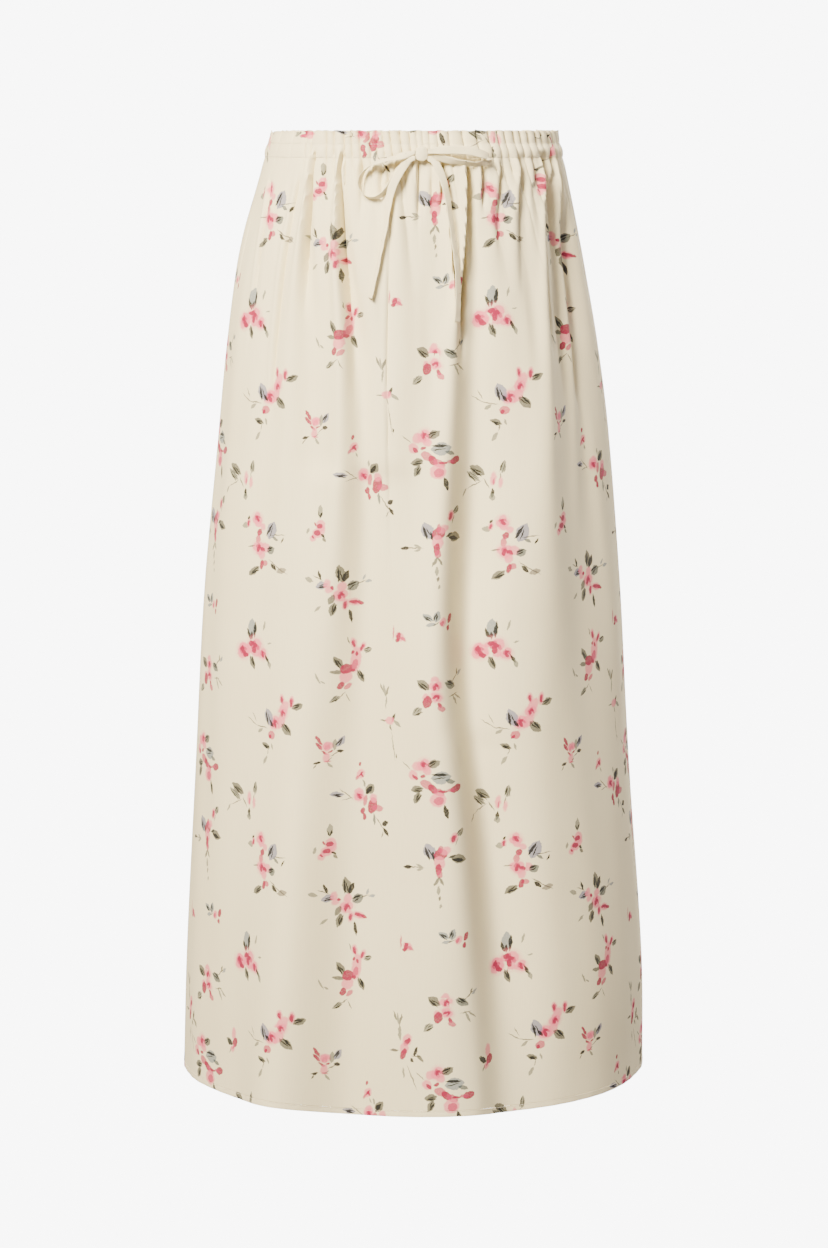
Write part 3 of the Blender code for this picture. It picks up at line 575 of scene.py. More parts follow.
def smoothRow(keys, values, at):
    # cubic through the values, flat past both ends, keys going down
    keys, values, at = np.asarray(keys, float), np.asarray(values, float), np.asarray(at, float)
    inside = np.clip(at, keys[-1], keys[0])
    i = np.clip(np.searchsorted(-keys, -inside, side="right") - 1, 0, len(keys) - 2)
    slopes = np.empty(len(keys))
    for n in range(len(keys)):
        low, high = max(n - 1, 0), min(n + 1, len(keys) - 1)
        slopes[n] = (values[high] - values[low]) / (keys[low] - keys[high])
    span = keys[i] - keys[i + 1]
    t = (keys[i] - inside) / span
    first = (2 * t**3 - 3 * t**2 + 1) * values[i] + (t**3 - 2 * t**2 + t) * slopes[i] * span
    return first + (3 * t**2 - 2 * t**3) * values[i + 1] + (t**3 - t**2) * slopes[i + 1] * span


def halfSizes(turn, height):
    angle = np.radians(turn)
    left, right, front, back = (smoothRow(sections[:, 0], sections[:, k], height) for k in (1, 2, 3, 4))
    return np.where(np.sin(angle) > 0, right, left), np.where(np.cos(angle) > 0, front, back)


def distanceFrom(line, turn, height):
    # along the cloth, from a line to each turn
    angle = np.radians(line)
    wide, deep = halfSizes(line, height)
    away = (turn - line + 180.0) % 360.0 - 180.0
    return np.radians(away) * np.hypot(wide * np.cos(angle), deep * np.sin(angle))


def ridgeAndValley(across, drop, ridge, lean, share=1.35):
    if lean == 0:
        return -drop * np.exp(-((across / ridge) ** 2))
    across = across * lean
    valley = ridge * share
    reach = np.where(across < 0, ridge, valley)
    return -drop * reach / (ridge + valley) * across / reach * np.exp(0.5 - 0.5 * (across / reach) ** 2)


def downCloth(values, height):
    return smoothRow(stations, values + values[-1:] * (len(stations) - len(values)), height)


def foldMove(name, turn, height, calm=False):
    top, foot, lean, path, deep, wide, valley = folds[name]
    line = downCloth(path, height)
    if name in sways:
        middle, reach, stray = sways[name]
        line = line + stray * np.exp(-(((height - middle) / reach) ** 2))
    across = distanceFrom(line, turn, height)
    ridge = downCloth(wide, height)
    length = top - foot
    drop = np.maximum(downCloth(deep, height), 0)
    drop = drop * ease((top - height) / min(foldFade, length / 2))
    drop = drop * ease((height - foot) / (footFade * length))
    share = downCloth(valley, height) if isinstance(valley, tuple) else valley
    move = ridgeAndValley(across, drop, ridge, lean, share)
    if calm:
        return move * calmShare
    if lean:
        narrow = np.clip((slot["until"] - ridge) / slot["over"], 0, 1) * slotShares.get(name, 1.0)
        away = np.abs(across * lean / ridge - slot["place"]) * slot["sharp"]
        move = move - narrow * drop * np.exp(-(away ** slot["power"]))
    return move


def creaseMove(crease, turn, height):
    turnTop, turnFoot, top, foot, drop, wide, lean = crease
    share = (top - height) / (top - foot)
    line = turnTop + (turnFoot - turnTop) * np.clip(share, 0, 1)
    line = line + 0.35 * np.sin(height / 31.0 + turnTop)
    fade = ease(share * 3.2) * ease((1 - share) * 1.8)
    across = distanceFrom(line, turn, height)
    return ridgeAndValley(across, drop * fade, wide * (0.8 + 0.5 * np.clip(share, 0, 1)), lean)


def pinchMove(turn, height):
    around = (turn + 90.0) % 360.0 - 90.0
    around = np.where(turn >= 269.999, 269.999, around)
    slant = np.interp(around, pinches[:, 0], pinches[:, 3])
    place = around - slant * (height - pinch["middle"]) / 10.0 * pinch["slant"]
    place = np.clip(place, -89.999, 269.998)
    i = np.clip(np.searchsorted(pinches[:, 0], place, side="right") - 1, 0, len(pinches) - 2)
    start, end = pinches[i, 0], pinches[i + 1, 0]
    phase = (place - start) / (end - start)
    deep = pinches[i, 1] * (1 - phase) + pinches[i + 1, 1] * phase
    reach = pinches[i, 2] * (1 - phase) + pinches[i + 1, 2] * phase
    deep = deep * np.clip((end - start) / pinch["usual"], pinch["least"], pinch["most"])
    above = smoothRow([s[0] for s in pinchShares], [s[1] for s in pinchShares], height)
    under = ease((-5.0 - height) / 12.0)
    below = 1.25 * under + 0.60 * (1 - under)
    fade = np.exp(-np.clip(-8.0 - height, 0, None) / (pinch["fade"] * reach))
    shown = np.where(height > -casingHalf, above, below * fade)
    fromGroove = np.minimum(phase, 1 - phase) * (end - start) * 2.3  # mm along the waist
    puff = 0.45 * np.abs(np.sin(math.pi * phase)) ** 0.72 + 0.75 * (1 - np.exp(-fromGroove / 0.9))
    more = 1
    for line, spread, share in deeperPinches:
        more = more + share * np.exp(-(((around - line) / spread) ** 4))
    deep = deep * more
    seam = np.minimum(ease((np.abs((turn - 90) % 180.0 - 90.0) - 89.0) * -1 / 3.0 + 0.35), 1.0)
    return shown * deep * (puff - 0.66) * seam


def flow(turn, height):
    # the slow unevenness of hung cloth
    a = np.radians(turn)
    move = 0
    for size, count, pitch, phase in flowWaves:
        move = move + size * np.sin(count * a + height / pitch + phase)
    return ease((-60.0 - height) / 200.0) * move


def clothMiddle(turn, height, calm=False):
    # the middle of the cloth's thickness, in mm; the calm form is the one that the print is laid out on
    angle = np.radians(turn)
    wide, deep = halfSizes(turn, height)
    ox, oy = deep * np.sin(angle), -wide * np.cos(angle)
    size = np.hypot(ox, oy)
    moved = pinchMove(turn, height) * (calmPinch if calm else 1.0) + flow(turn, height) * flowShare
    for name in folds:
        moved = moved + foldMove(name, turn, height, calm)
    for crease in creases:
        moved = moved + creaseMove(crease, turn, height)
    level = height + 0.30 * moved * ease((-700.0 - height) / 240.0)  # a valley hangs lower than a ridge
    return wide * np.sin(angle) + ox / size * moved, -deep * np.cos(angle) + oy / size * moved, level


# the print: sprigs of brush strokes
inks = {
    # name: colour, cover
    "wash": ((0.74, 0.155, 0.235), 0.42),
    "petal": ((0.74, 0.155, 0.235), 0.80),
    "rose": ((0.44, 0.030, 0.100), 0.85),
    "red": ((0.27, 0.005, 0.046), 0.97),
    "olive": ((0.040, 0.044, 0.032), 0.85),
    "black": ((0.004, 0.0045, 0.0042), 0.98),
    "grey": ((0.12, 0.16, 0.21), 0.80),
    "lavender": ((0.13, 0.14, 0.26), 0.80),
    "teal": ((0.040, 0.062, 0.068), 0.85),
    "twig": ((0.020, 0.019, 0.016), 0.85),
    "mist": ((0.120, 0.125, 0.095), 0.80),
    "brown": ((0.100, 0.085, 0.066), 0.75),
}
inkNames = list(inks)
# how soft a stroke's edge is, in mm; flower inks make round dabs, the others pointed leaves and twigs
softEdges = {"wash": 9.0, "petal": 2.2, "rose": 1.2, "red": 0.7}
leafEdge = 0.35
printScale = 0.955
strokeGrow = 1.30  # the brush's soft edge takes this much off

# sprigs: place of the first copy across and up, the rows that it shows in, and its parts; one without
# rows is in front only, along the hem or once at the top edge.
# a part: what, across, down, long, wide, turn
sprigs = {
    "spireWithBlueLeaf": (-160, -63, (0, 1, 2), (
        ("mist", -16, -16, 8, 5, 10), ("petal", 0, -19, 7, 7, 60), ("petal", 6, -16, 6, 6, 0),
        ("bloom", -1, -24, 9, 10, 80), ("bud", -12, -19, 7, 4, 80), ("black", -12, -24, 4, 2, 60),
        ("red", 2, -10, 6, 5, 60), ("rose", 0, -3, 8, 5, 85), ("petal", 10, 5, 10, 8, 0),
        ("bloom", 1, 6, 10, 11, 30), ("red", 6, 7, 5, 4, -30), ("twig", -8, 5, 8, 1.2, 10),
        ("petal", 5, 13, 8, 7, 90), ("rose", 9, 21, 6, 5, 0), ("red", 5, 23, 8, 4, 75),
        ("edged lavender", 18, -13, 15, 9, 65), ("twig", 26, -9, 17, 1, 5), ("teal", 23, -5, 7, 3, -30),
        ("black", 32, -4, 6, 1.8, 60), ("edged teal", 17, 7, 8, 6, 25), ("twig", 20, 20, 11, 1.1, -32),
        ("twig", 30, 26, 15, 1.1, -28), ("black", 21, 24, 8, 3.5, -40), ("brown", 31, 27, 10, 5, 15),
        ("edged olive", -5, 30, 12, 5, 215),
    )),
    "leafyRed": (-70, -98, (0, 1, 2), (
        ("edged olive", 1, -14, 14, 6.5, 100), ("black", 6, -11, 11, 4.5, 68),
        ("black", -20, -12, 9, 2.5, 110), ("twig", -22, -9, 11, 1, -25),
        ("edged lavender", -18, -2, 10, 5.5, 195), ("mist", -32, -7, 8, 4, 160),
        ("petal", -12, -4, 8, 6, 70), ("petal", -10, 2, 8, 6, 40), ("red", -7, 0, 3, 3, 0),
        ("petal", 2, -1, 8, 7, 30), ("bloom", 1, 8, 11, 10, 20), ("edged teal", 13, -1, 10, 7, 30),
        ("twig", 21, -4, 11, 1, 22), ("grey", 29, -5, 7, 2.6, 15), ("grey", 24, -9, 6, 2.2, 60),
        ("bud", 14, 16, 10, 6, -10), ("bud", 5, 18, 9, 5, 80), ("red", 20, 17, 6, 3, -20),
        ("olive", -8, 12, 9, 5, 240), ("edged olive", -7, 22, 11, 5, 255), ("black", 10, 30, 12, 3.2, -80),
        ("mist", -22, 22, 8, 2.4, 40),
    )),
    "tulipBud": (-175, -164, (0, 1, 2), (
        ("grey", 0, -21, 15, 8.5, 90), ("black", 3.6, -19, 14, 3.4, 84), ("black", -4.2, -14, 11, 3, 112),
        ("black", -0.6, -13, 7, 2.4, 88), ("bloom", 3, -1, 15, 15, 40), ("red", -1, -5, 6, 4, 30),
        ("petal", -11, 3, 13, 12, 0), ("bloom", -12, 4, 12, 13, 90), ("red", -14, 1, 5, 3, 60),
        ("red", -9, 8, 6, 4, 0), ("bloom", 14, 5, 9, 10, 60), ("edged olive", 0, 15, 11, 4.5, -68),
        ("black", 20, 10, 9, 3, -60), ("mist", 23, 15, 8, 3.4, -70), ("mist", 23, -7, 5, 1.5, 10),
        ("mist", 16, -24, 9, 2.2, 75),
    )),
    "tallPink": (-61, -170, (0, 1, 2), (
        ("petal", 4, 0, 22, 9, 82), ("twig", -3, -20, 7, 1.2, 105), ("bud", 2, -17, 9, 5, 100),
        ("bud", 11, -13, 9, 4.5, 60), ("outline", 17, -10, 8, 4.5, 20), ("red", 1, -8, 3.5, 2.4, 60),
        ("red", 5, -6, 4, 2.4, 100), ("edged olive", -13, 2, 12, 5, 125), ("olive", -15, 12, 11, 3.6, 175),
        ("petal", -6, 17, 12, 10, 60), ("red", -5.5, 9, 10, 8, 20), ("rose", 3, 5, 9, 5, 70),
        ("red", 1, 11, 4, 3, 0), ("edged olive", 9, 17, 11, 4.5, -60), ("red", -11, 26, 7, 5, 60),
        ("rose", -4, 27, 8, 4, 40), ("outline", -17, 40, 10, 4, 215), ("twig", -10, 36, 8, 1, 40),
        ("twig", -4, 39, 9, 1, -62), ("mist", -33, 18, 10, 1.8, 115), ("mist", -28, 22, 5, 1.6, -35),
    )),
    "crossedBlooms": (25, -202, (0, 1, 2), (
        ("petal", -2, -12, 9, 7, 80), ("bloom", -1, -7, 10, 9, 20), ("edged olive", -13, -8, 11, 6.5, 145),
        ("bloom", 0, 4, 10, 8, -30), ("petal", -10, 5, 7, 6, 100), ("red", -9, 9, 10, 7, 75),
        ("red", 3, 12, 5, 3, -60), ("rose", 5, 16, 7, 5, -30), ("outline", -19, 20, 10, 6, 220),
        ("edged teal", 15, -7, 11, 6, -25), ("twig", 23, -14, 16, 1.1, 40), ("black", 25, -18, 6, 1.5, 78),
        ("grey", 29, -17, 7, 2.2, 45), ("twig", 19, 4, 11, 1.1, 10), ("mist", 21, 9, 12, 2, -62),
        ("mist", 26, 7, 10, 1.8, -35),
    )),
    "longTwig": (-147, -232, (0, 1, 2), (
        ("bud", 10, -18, 9, 5, 95), ("bud", 22, -17, 10, 5, 85), ("edged olive", 29, -13, 10, 5, 25),
        ("petal", 13, -10, 14, 8, 60), ("bloom", 11, -4, 10, 9, 30), ("petal", 7, 6, 14, 9, 40),
        ("bloom", 1, 7, 12, 10, 60), ("edged lavender", -8, 2, 14, 8, 110), ("black", -4, 8, 7, 3, 130),
        ("edged olive", 16, 12, 12, 6.5, -40), ("twig", -18, 13, 15, 1.1, 175),
        ("twig", -31, 9, 14, 1, 150), ("twig", -28, 4, 10, 0.9, 120), ("mist", -20, 17, 7, 3, 215),
        ("rose", -4, 20, 8, 7, 0), ("red", -6, 22, 4, 3, 60), ("edged olive", -12, 32, 9, 4, 160),
        ("twig", -9, 38, 6, 1, 75), ("mist", -13, 47, 9, 3.2, 240), ("mist", -3, 32, 6, 2, -70),
    )),
    "splitBuds": (-93, -262, (0, 1, 2), (
        ("red", -7, -10, 9, 3, -58), ("red", -7, -4, 8, 3, -50), ("bloom", 1, -3, 8, 7, 0),
        ("petal", 2, -4, 9, 7, 0), ("red", -2, 3, 6, 2, -35), ("red", 4, 2, 5, 1.6, 25),
        ("petal", 0, 8, 9, 6, 80), ("rose", 1, 12, 6, 1.5, 0), ("mist", 8, -5, 10, 4, 85),
        ("edged lavender", 14, -8, 10, 4.5, 55), ("black", 13, 2, 6, 3, 5), ("twig", 8, 5, 9, 1, 32),
        ("black", -9, 13, 6, 2.4, 15), ("twig", -11, 17, 5, 1.2, 55), ("mist", 3, 16, 7, 2.4, -50),
        ("twig", 3, 10, 5, 0.9, 40),
    )),
    "bigSpray": (17, -287, (-1, 0, 1, 2), (
        ("petal", -13, -14, 9, 8, 45), ("petal", -17, -4, 9, 8, 120), ("bloom", -6, -16, 11, 10, 60),
        ("petal", -3, -10, 8, 7, -30), ("red", -15, -2, 6, 3, -40), ("red", -7, -4, 5, 3, 20),
        ("twig", -24, -13, 10, 1.1, 140), ("edged olive", 4, -18, 10, 6, 30),
        ("edged grey", 11, -4, 15, 9, 8), ("teal", 20, 0, 9, 3.6, -15), ("rose", -3, 4, 11, 7, -25),
        ("red", 3, 8, 9, 6, -45), ("rose", 9, 11, 10, 6, -30), ("red", 13, 10, 8, 2.4, 0),
        ("petal", 8, 19, 13, 12, 20), ("rose", 9, 20, 8, 7, 20), ("red", 26, 8, 10, 6, 20),
        ("rose", 21, 9, 8, 3, 0), ("edged olive", -13, 10, 10, 5.5, 195),
        ("edged olive", -13, 19, 10, 5, 245), ("black", 16, 31, 12, 4, -75),
    )),
    "duskyCluster": (-44, -314, (-1, 0, 1, 2), (
        ("edged lavender", -30, -6, 11, 4, 175), ("twig", -20, -6, 16, 1, -40),
        ("twig", -19, -1, 11, 0.9, 12), ("petal", -7, -6, 11, 9, 80), ("bloom", -6.5, -4, 8, 9, 80),
        ("mist", -1, -17, 6, 2.2, 95), ("olive", 5, -12, 11, 7.5, 52), ("black", 4, -11, 9, 4, 52),
        ("rose", 0, 0, 10, 4, 80), ("red", 8, 5, 14, 8, 75), ("rose", 14, 7, 10, 6, 0),
        ("petal", 9, -3, 8, 7, 90), ("red", -3, 11, 6, 4, 80), ("red", -1, 17, 6, 3, 100),
        ("teal", 10, 19, 10, 2.6, -85), ("twig", 17, 24, 17, 1, -55), ("black", 22, 22, 6, 4.4, 30),
        ("black", 23, 31, 8, 2.8, -55), ("twig", 19, 34, 6, 1, -110),
    )),
    "pairOfLeaves": (-181, -318, (-1, 0, 1, 2), (
        ("edged olive", -11, -11, 14, 6.5, 152), ("outline", -15, -5, 15, 5, 145),
        ("twig", -1, 2, 10, 1.3, -55), ("twig", -14, 4, 16, 1, 205), ("mist", -25, 11, 8, 2, 240),
        ("outline", 14.6, -15, 11, 4.5, 83), ("twig", 12, -5, 8, 1, 80), ("petal", 5.5, -3, 12, 5, 85),
        ("petal", 12.5, 1, 10, 4, 85), ("rose", 6, 0, 6, 1.8, 85), ("black", 5, 12, 8, 3, 85),
        ("mist", 5, 16, 6, 5, 270),
    )),
    "doubleDab": (-94, -357, (-1, 0, 1), (
        ("mist", 3.5, -14, 11, 5, 88), ("black", 4.6, -11, 6, 1.6, 65), ("black", 1.8, -11, 6, 1.3, 112),
        ("petal", 4, 0, 10, 9, 60), ("petal", 7, 4, 8, 5, 80), ("red", 3, 0.5, 6, 4.4, 20),
        ("red", -2.5, -1, 4, 1.8, -60), ("petal", 0, 8, 10, 8, 0), ("red", 0, 7.5, 7, 4.4, 0),
        ("petal", -5, 13, 7, 6, 60), ("red", -5, 12, 3.5, 2, -45), ("black", 7, 10, 5, 2.2, -35),
        ("olive", 8.5, 14, 5, 2.8, -45), ("mist", -11, 6, 6, 2.4, 70),
    )),
    "wideSpray": (23, -55, (0, 1, 2), (
        ("bud", 17, -24, 9, 6, 70), ("outline", 24, -29, 8, 5, 55), ("twig", 20, -20, 8, 1, 65),
        ("edged lavender", -7, -9, 13, 9, 118), ("black", -3, -4, 8, 2.2, 100), ("red", 4, -7, 11, 9, 40),
        ("petal", 9, -11, 9, 7, 30), ("rose", 4, -12, 7, 4, 80), ("black", 15, -5, 7, 2.4, 25),
        ("olive", 22, -2, 14, 7.5, -12), ("black", 21, -1, 11, 3.4, -12), ("petal", 3, 2, 12, 9, 90),
        ("red", 2, 9, 10, 5, 85), ("rose", 3, 14, 7, 5, 80), ("twig", -23, 9, 20, 1.1, 0),
        ("black", -30, 9.5, 7, 3.2, 185), ("mist", -17, 7, 7, 2.4, 160), ("mist", -17, 11, 6, 2, 200),
        ("olive", 0, 22, 9, 2.6, 240), ("olive", 5, 21, 8, 2.2, -60), ("mist", 2, 31, 8, 3, 268),
        ("twig", 3, 39, 5, 2, 80), ("mist", 4, 47, 4, 2, 80),
    )),
    "greyLeaves": (35, -132, (0, 1, 2), (
        ("edged grey", -12, -5, 9, 4.5, 150), ("grey", -9, 2, 8, 3, 195), ("edged grey", -3, -6, 9, 5, 75),
        ("twig", -4, 1, 8, 0.9, 30), ("petal", 3, 0, 8, 6, 60), ("rose", 2, 1, 5, 3, 60),
        ("red", 11, -3, 8, 4, 70), ("red", 9, 6, 5, 3, 80),
    )),
    "smallRose": (-14, -144, (0, 1, 2), (
        ("rose", -4, -3, 12, 1.8, 88), ("petal", 3, 1, 9, 7, -30), ("red", 1.5, 1, 7, 4, 72),
        ("rose", 6.5, 3, 6, 3, -30), ("red", 0, 5, 4, 3, 0),
    )),
    "grassSprig": (-21, -233, (0, 1), (
        ("olive", -12, -33, 9, 1.8, 112), ("mist", -9, -31, 10, 2, 96), ("olive", -6, -30, 10, 2.2, 74),
        ("mist", -7, -19, 12, 1.6, 85), ("black", 1, -3, 9, 2.4, 68), ("mist", 5, 2, 9, 3.2, -35),
        ("twig", -10, 0.5, 7, 1.3, 0), ("petal", -3, 0, 8, 7, 0), ("twig", -2, 7, 6, 1.4, 110),
        ("twig", 1, 26, 26, 0.9, -82), ("black", 4, 36, 4, 1.2, 100),
    )),
    "longSprig": (-19, -880, (), (
        ("olive", -9, -42, 9, 1.8, 112), ("mist", -6, -40, 10, 2, 96), ("olive", -3, -39, 10, 2.2, 74),
        ("mist", -4, -25, 14, 3, 272), ("petal", 4, -18, 11, 8, 70), ("red", 4, -16, 8, 4, 50),
        ("petal", 1, -9, 10, 8, 90), ("red", 0, -3, 10, 5, 70), ("twig", -10, -7, 9, 2.2, 0),
        ("black", 13, -6, 9, 3, 72), ("twig", 14, -1, 10, 1.1, 0), ("olive", 18, 1, 9, 3, -48),
        ("black", 9, 3, 5, 2.6, -60), ("twig", 9, 21, 24, 1.1, -68), ("mist", 0, 16, 10, 2, 95),
    )),
    "darkLeafAndRose": (62, -884, (), (
        ("black", -6, 1, 8, 5.5, 160), ("olive", -8, -1, 6, 4, 160), ("twig", -5, 9, 8, 1.3, 60),
        ("petal", 1, -9, 12, 6, 85), ("red", 3, 0, 9, 6, 60), ("petal", -1, 7, 8, 5, 60),
        ("rose", 0, 5, 6, 2.4, 60),
    )),
    "tinyRose": (-56, -283, (0, 1, 2), (
        ("red", -1, -10, 4, 2.6, 80), ("petal", 0, 0, 9, 7, 60), ("red", 0, 0, 6, 2, 45),
        ("red", 1, 1, 5, 2, -50), ("rose", -4, 4, 5, 2.4, 60), ("mist", 3, 8, 5, 1.4, -70),
    )),
    "topDash": (-113, 16, (), (
        ("red", 2, 0, 9, 6, 10), ("petal", 6, 1, 9, 7, 0), ("rose", -2, 2, 6, 4, 0),
        ("mist", -11, 0, 7, 4, 160), ("black", -8, -1, 4, 1.6, 30),
    )),
    "topLine": (171, 0, (), (
        ("red", 0, -8, 10, 2.6, 80), ("rose", 1, 3, 9, 2.6, 95), ("black", -2, -14, 6, 2.2, 40),
        ("petal", 2, 0, 10, 6, 85), ("mist", -18, -14, 7, 2.6, 20), ("twig", -24, -13, 6, 1.2, 150),
    )),
}


# a compound part's strokes: along, aside, length and width as shares of its own, then turn and ink
compound = {
    "bloom": (
        (0, 0, 1.45, 1.35, 0, "wash"),
        (-0.24, 0.20, 0.72, 0.66, 35, "petal"),
        (-0.12, -0.26, 0.74, 0.62, -40, "petal"),
        (0.26, 0.04, 0.68, 0.72, 90, "petal"),
        (0.02, 0.20, 0.56, 0.30, 20, "rose"),
        (0.22, -0.14, 0.42, 0.24, 80, "rose"),
        (-0.14, -0.10, 0.46, 0.30, 55, "red"),
        (0.14, 0.08, 0.34, 0.26, -50, "red"),
    ),
    "bud": (
        (0, 0, 1.1, 1.1, 0, "petal"),
        (-0.08, 0.06, 0.72, 0.55, 8, "red"),
        (0.2, -0.2, 0.4, 0.3, 20, "rose"),
    ),
    "outline": (
        (0, 0, 1, 1, 0, "mist"),
        (0, 0.36, 0.9, 1.3, -9, "black"),
        (-0.05, -0.34, 0.8, 1.1, 9, "olive"),
        (-0.2, 0, 0.5, 1.0, 0, "olive"),
    ),
    "edged": (
        (0, 0, 1.08, 1.15, 0, None),
        (-0.05, 0.34, 0.90, 0.30, -8, "black"),
        (-0.12, -0.04, 0.75, 1.2, 3, "black"),
    ),
}
thinAfter = {"outline": 0, "edged": 1}  # the rows after this one give their width in mm
leastEdge = 1.6


def strokesOf(what, long, wide, turn):
    # one part as strokes: across, up, half length, half width, turn, ink
    kind, _, own = what.partition(" ")
    rows = compound.get(kind, ((0, 0, 1, 1, 0, what),))
    a = math.radians(turn)
    ux, uy = math.cos(a), math.sin(a)
    for n, (along, side, length, width, extra, ink) in enumerate(rows):
        along, side = along * long, side * wide
        broad = width if n > thinAfter.get(kind, n) else width * wide
        if kind == "edged" and n == 1:
            broad = max(broad, leastEdge)
        place = (ux * along - uy * side, uy * along + ux * side)
        yield (*place, length * long / 2, broad / 2, turn + extra, ink or own)


repeatAcross = 265.0
repeatUp = 324.0
rowLift = 3.5  # a row lies this much above the even repeat, times the square of its number
backShift = (118.0, 141.0)
backRows = (-1, 0, 1, 2, 3)
# how the front's columns draw in and stray to one side away from the middle height
spread = {"middle": 480.0, "in": (0.048, 0.0383), "aside": (10.51, 3.545)}
printEdge = {"side": 345, "foot": -960, "top": 40}
topEdge = -100  # a sprig without rows shows once above this height, and in every column below it
# the cloth hangs unevenly: how far each copy of the front is off the even repeat, across and up, by row,
# first the copy on the left, then the one on the right
offRepeat = {
    "spireWithBlueLeaf": ((-2, 3, -6, 4), (-3, 4, -7, 5), (0, 2, -1, 6)),
    "leafyRed": ((-9, 8, 4, 11), (-2, 0, 12, 5), (-4, 3, -6, -1)),
    "tulipBud": ((-2, 2, -1, 7), (4, 0, -5, 6), (-6, 1, 1, 7)),
    "tallPink": ((-3, 4, -10, 5), (-2, 0, 4, -1), (-8, 9, -7, 6)),
    "crossedBlooms": ((3, 3, 3, 3), (-3, 5, -3, 5), (-2, 5, -2, 5)),
    "longTwig": ((-3, 1, -14, 3), (5, 4, -9, 8), (4, 4, 4, 9)),
    "splitBuds": ((-6, -1, -10, 2), (5, 4, -6, -2), (-5, 7, -4, 17)),
    "bigSpray": ((4, 0, 4, 0), (-3, 4, -3, 4), (0, 10, 0, 10)),
    "duskyCluster": ((4, -1, 8, 2), (-8, 5, 12, 3), (-6, 6, 6, 6)),
    "pairOfLeaves": ((-3, -3, 0, 1), (-1, 1, 0, 4), (-1, 3, 0, 6)),
    "doubleDab": ((0, -2, -9, 2), (4, 5, -5, 5), (0, 0, 0, 0)),
    "wideSpray": ((3, 1, 3, 1), (1, 5, 1, 5), (-5, 7, -5, 7)),
    "greyLeaves": ((7, 5, 7, 5), (-8, 3, -8, 3), (-2, 5, -2, 5)),
    "smallRose": ((1, 2, 1, 2), (-1, 0, -1, 0), (-1, 9, -1, 9)),
    "grassSprig": ((3, 1, 3, 1), (-1, 5, -1, 5), (-4, 2, -4, 2)),
}


def copiesOf(name, side):
    # where the copies of a sprig lie on one half's cloth, across and up
    u, v, rows, _ = sprigs[name]
    single = not rows
    if single and side == "back":
        return
    shown = rows if side == "front" else backRows
    for row in (0,) if single else shown:
        for column in range(-2, 3):
            if single and column and v > topEdge:
                continue
            up = v if single else v - repeatUp * row + rowLift * row * row
            across = u + repeatAcross * column
            if side == "back":
                yield across + backShift[0], up + backShift[1]
                continue
            w = (up + spread["middle"]) / spread["middle"]
            across = across * (1 - spread["in"][0] * w + spread["in"][1] * w * w)
            across = across - spread["aside"][0] * w + spread["aside"][1] * w * w
            if name in offRepeat:
                k = 2 if column > 0 else 0
                across += offRepeat[name][max(row, 0)][k]
                up += offRepeat[name][max(row, 0)][k + 1]
            yield across, up


def printStrokes(side):
    # every stroke of one half: across and up on its cloth, half length, half width, turn, ink number
    found = []
    grow = printScale * strokeGrow
    for name, (_, _, _, parts) in sprigs.items():
        for across, up in copiesOf(name, side):
            for what, dx, dy, long, wide, turn in parts:
                for x, y, halfLong, halfWide, angle, ink in strokesOf(what, long, wide, turn):
                    px = across + (dx + x) * printScale
                    py = up + (-dy + y) * printScale
                    if abs(px) > printEdge["side"] or not printEdge["foot"] < py < printEdge["top"]:
                        continue
                    sizes = (halfLong * grow, halfWide * grow)
                    found.append((px, py, *sizes, math.radians(angle), inkNames.index(ink)))
    return np.array(found)


strokes = {"front": printStrokes("front"), "back": printStrokes("back")}
print("print strokes:", {side: len(rows) for side, rows in strokes.items()})

slotCount = 12  # strokes that a face can hold
slotLabels = ("along", "aside", "brush")


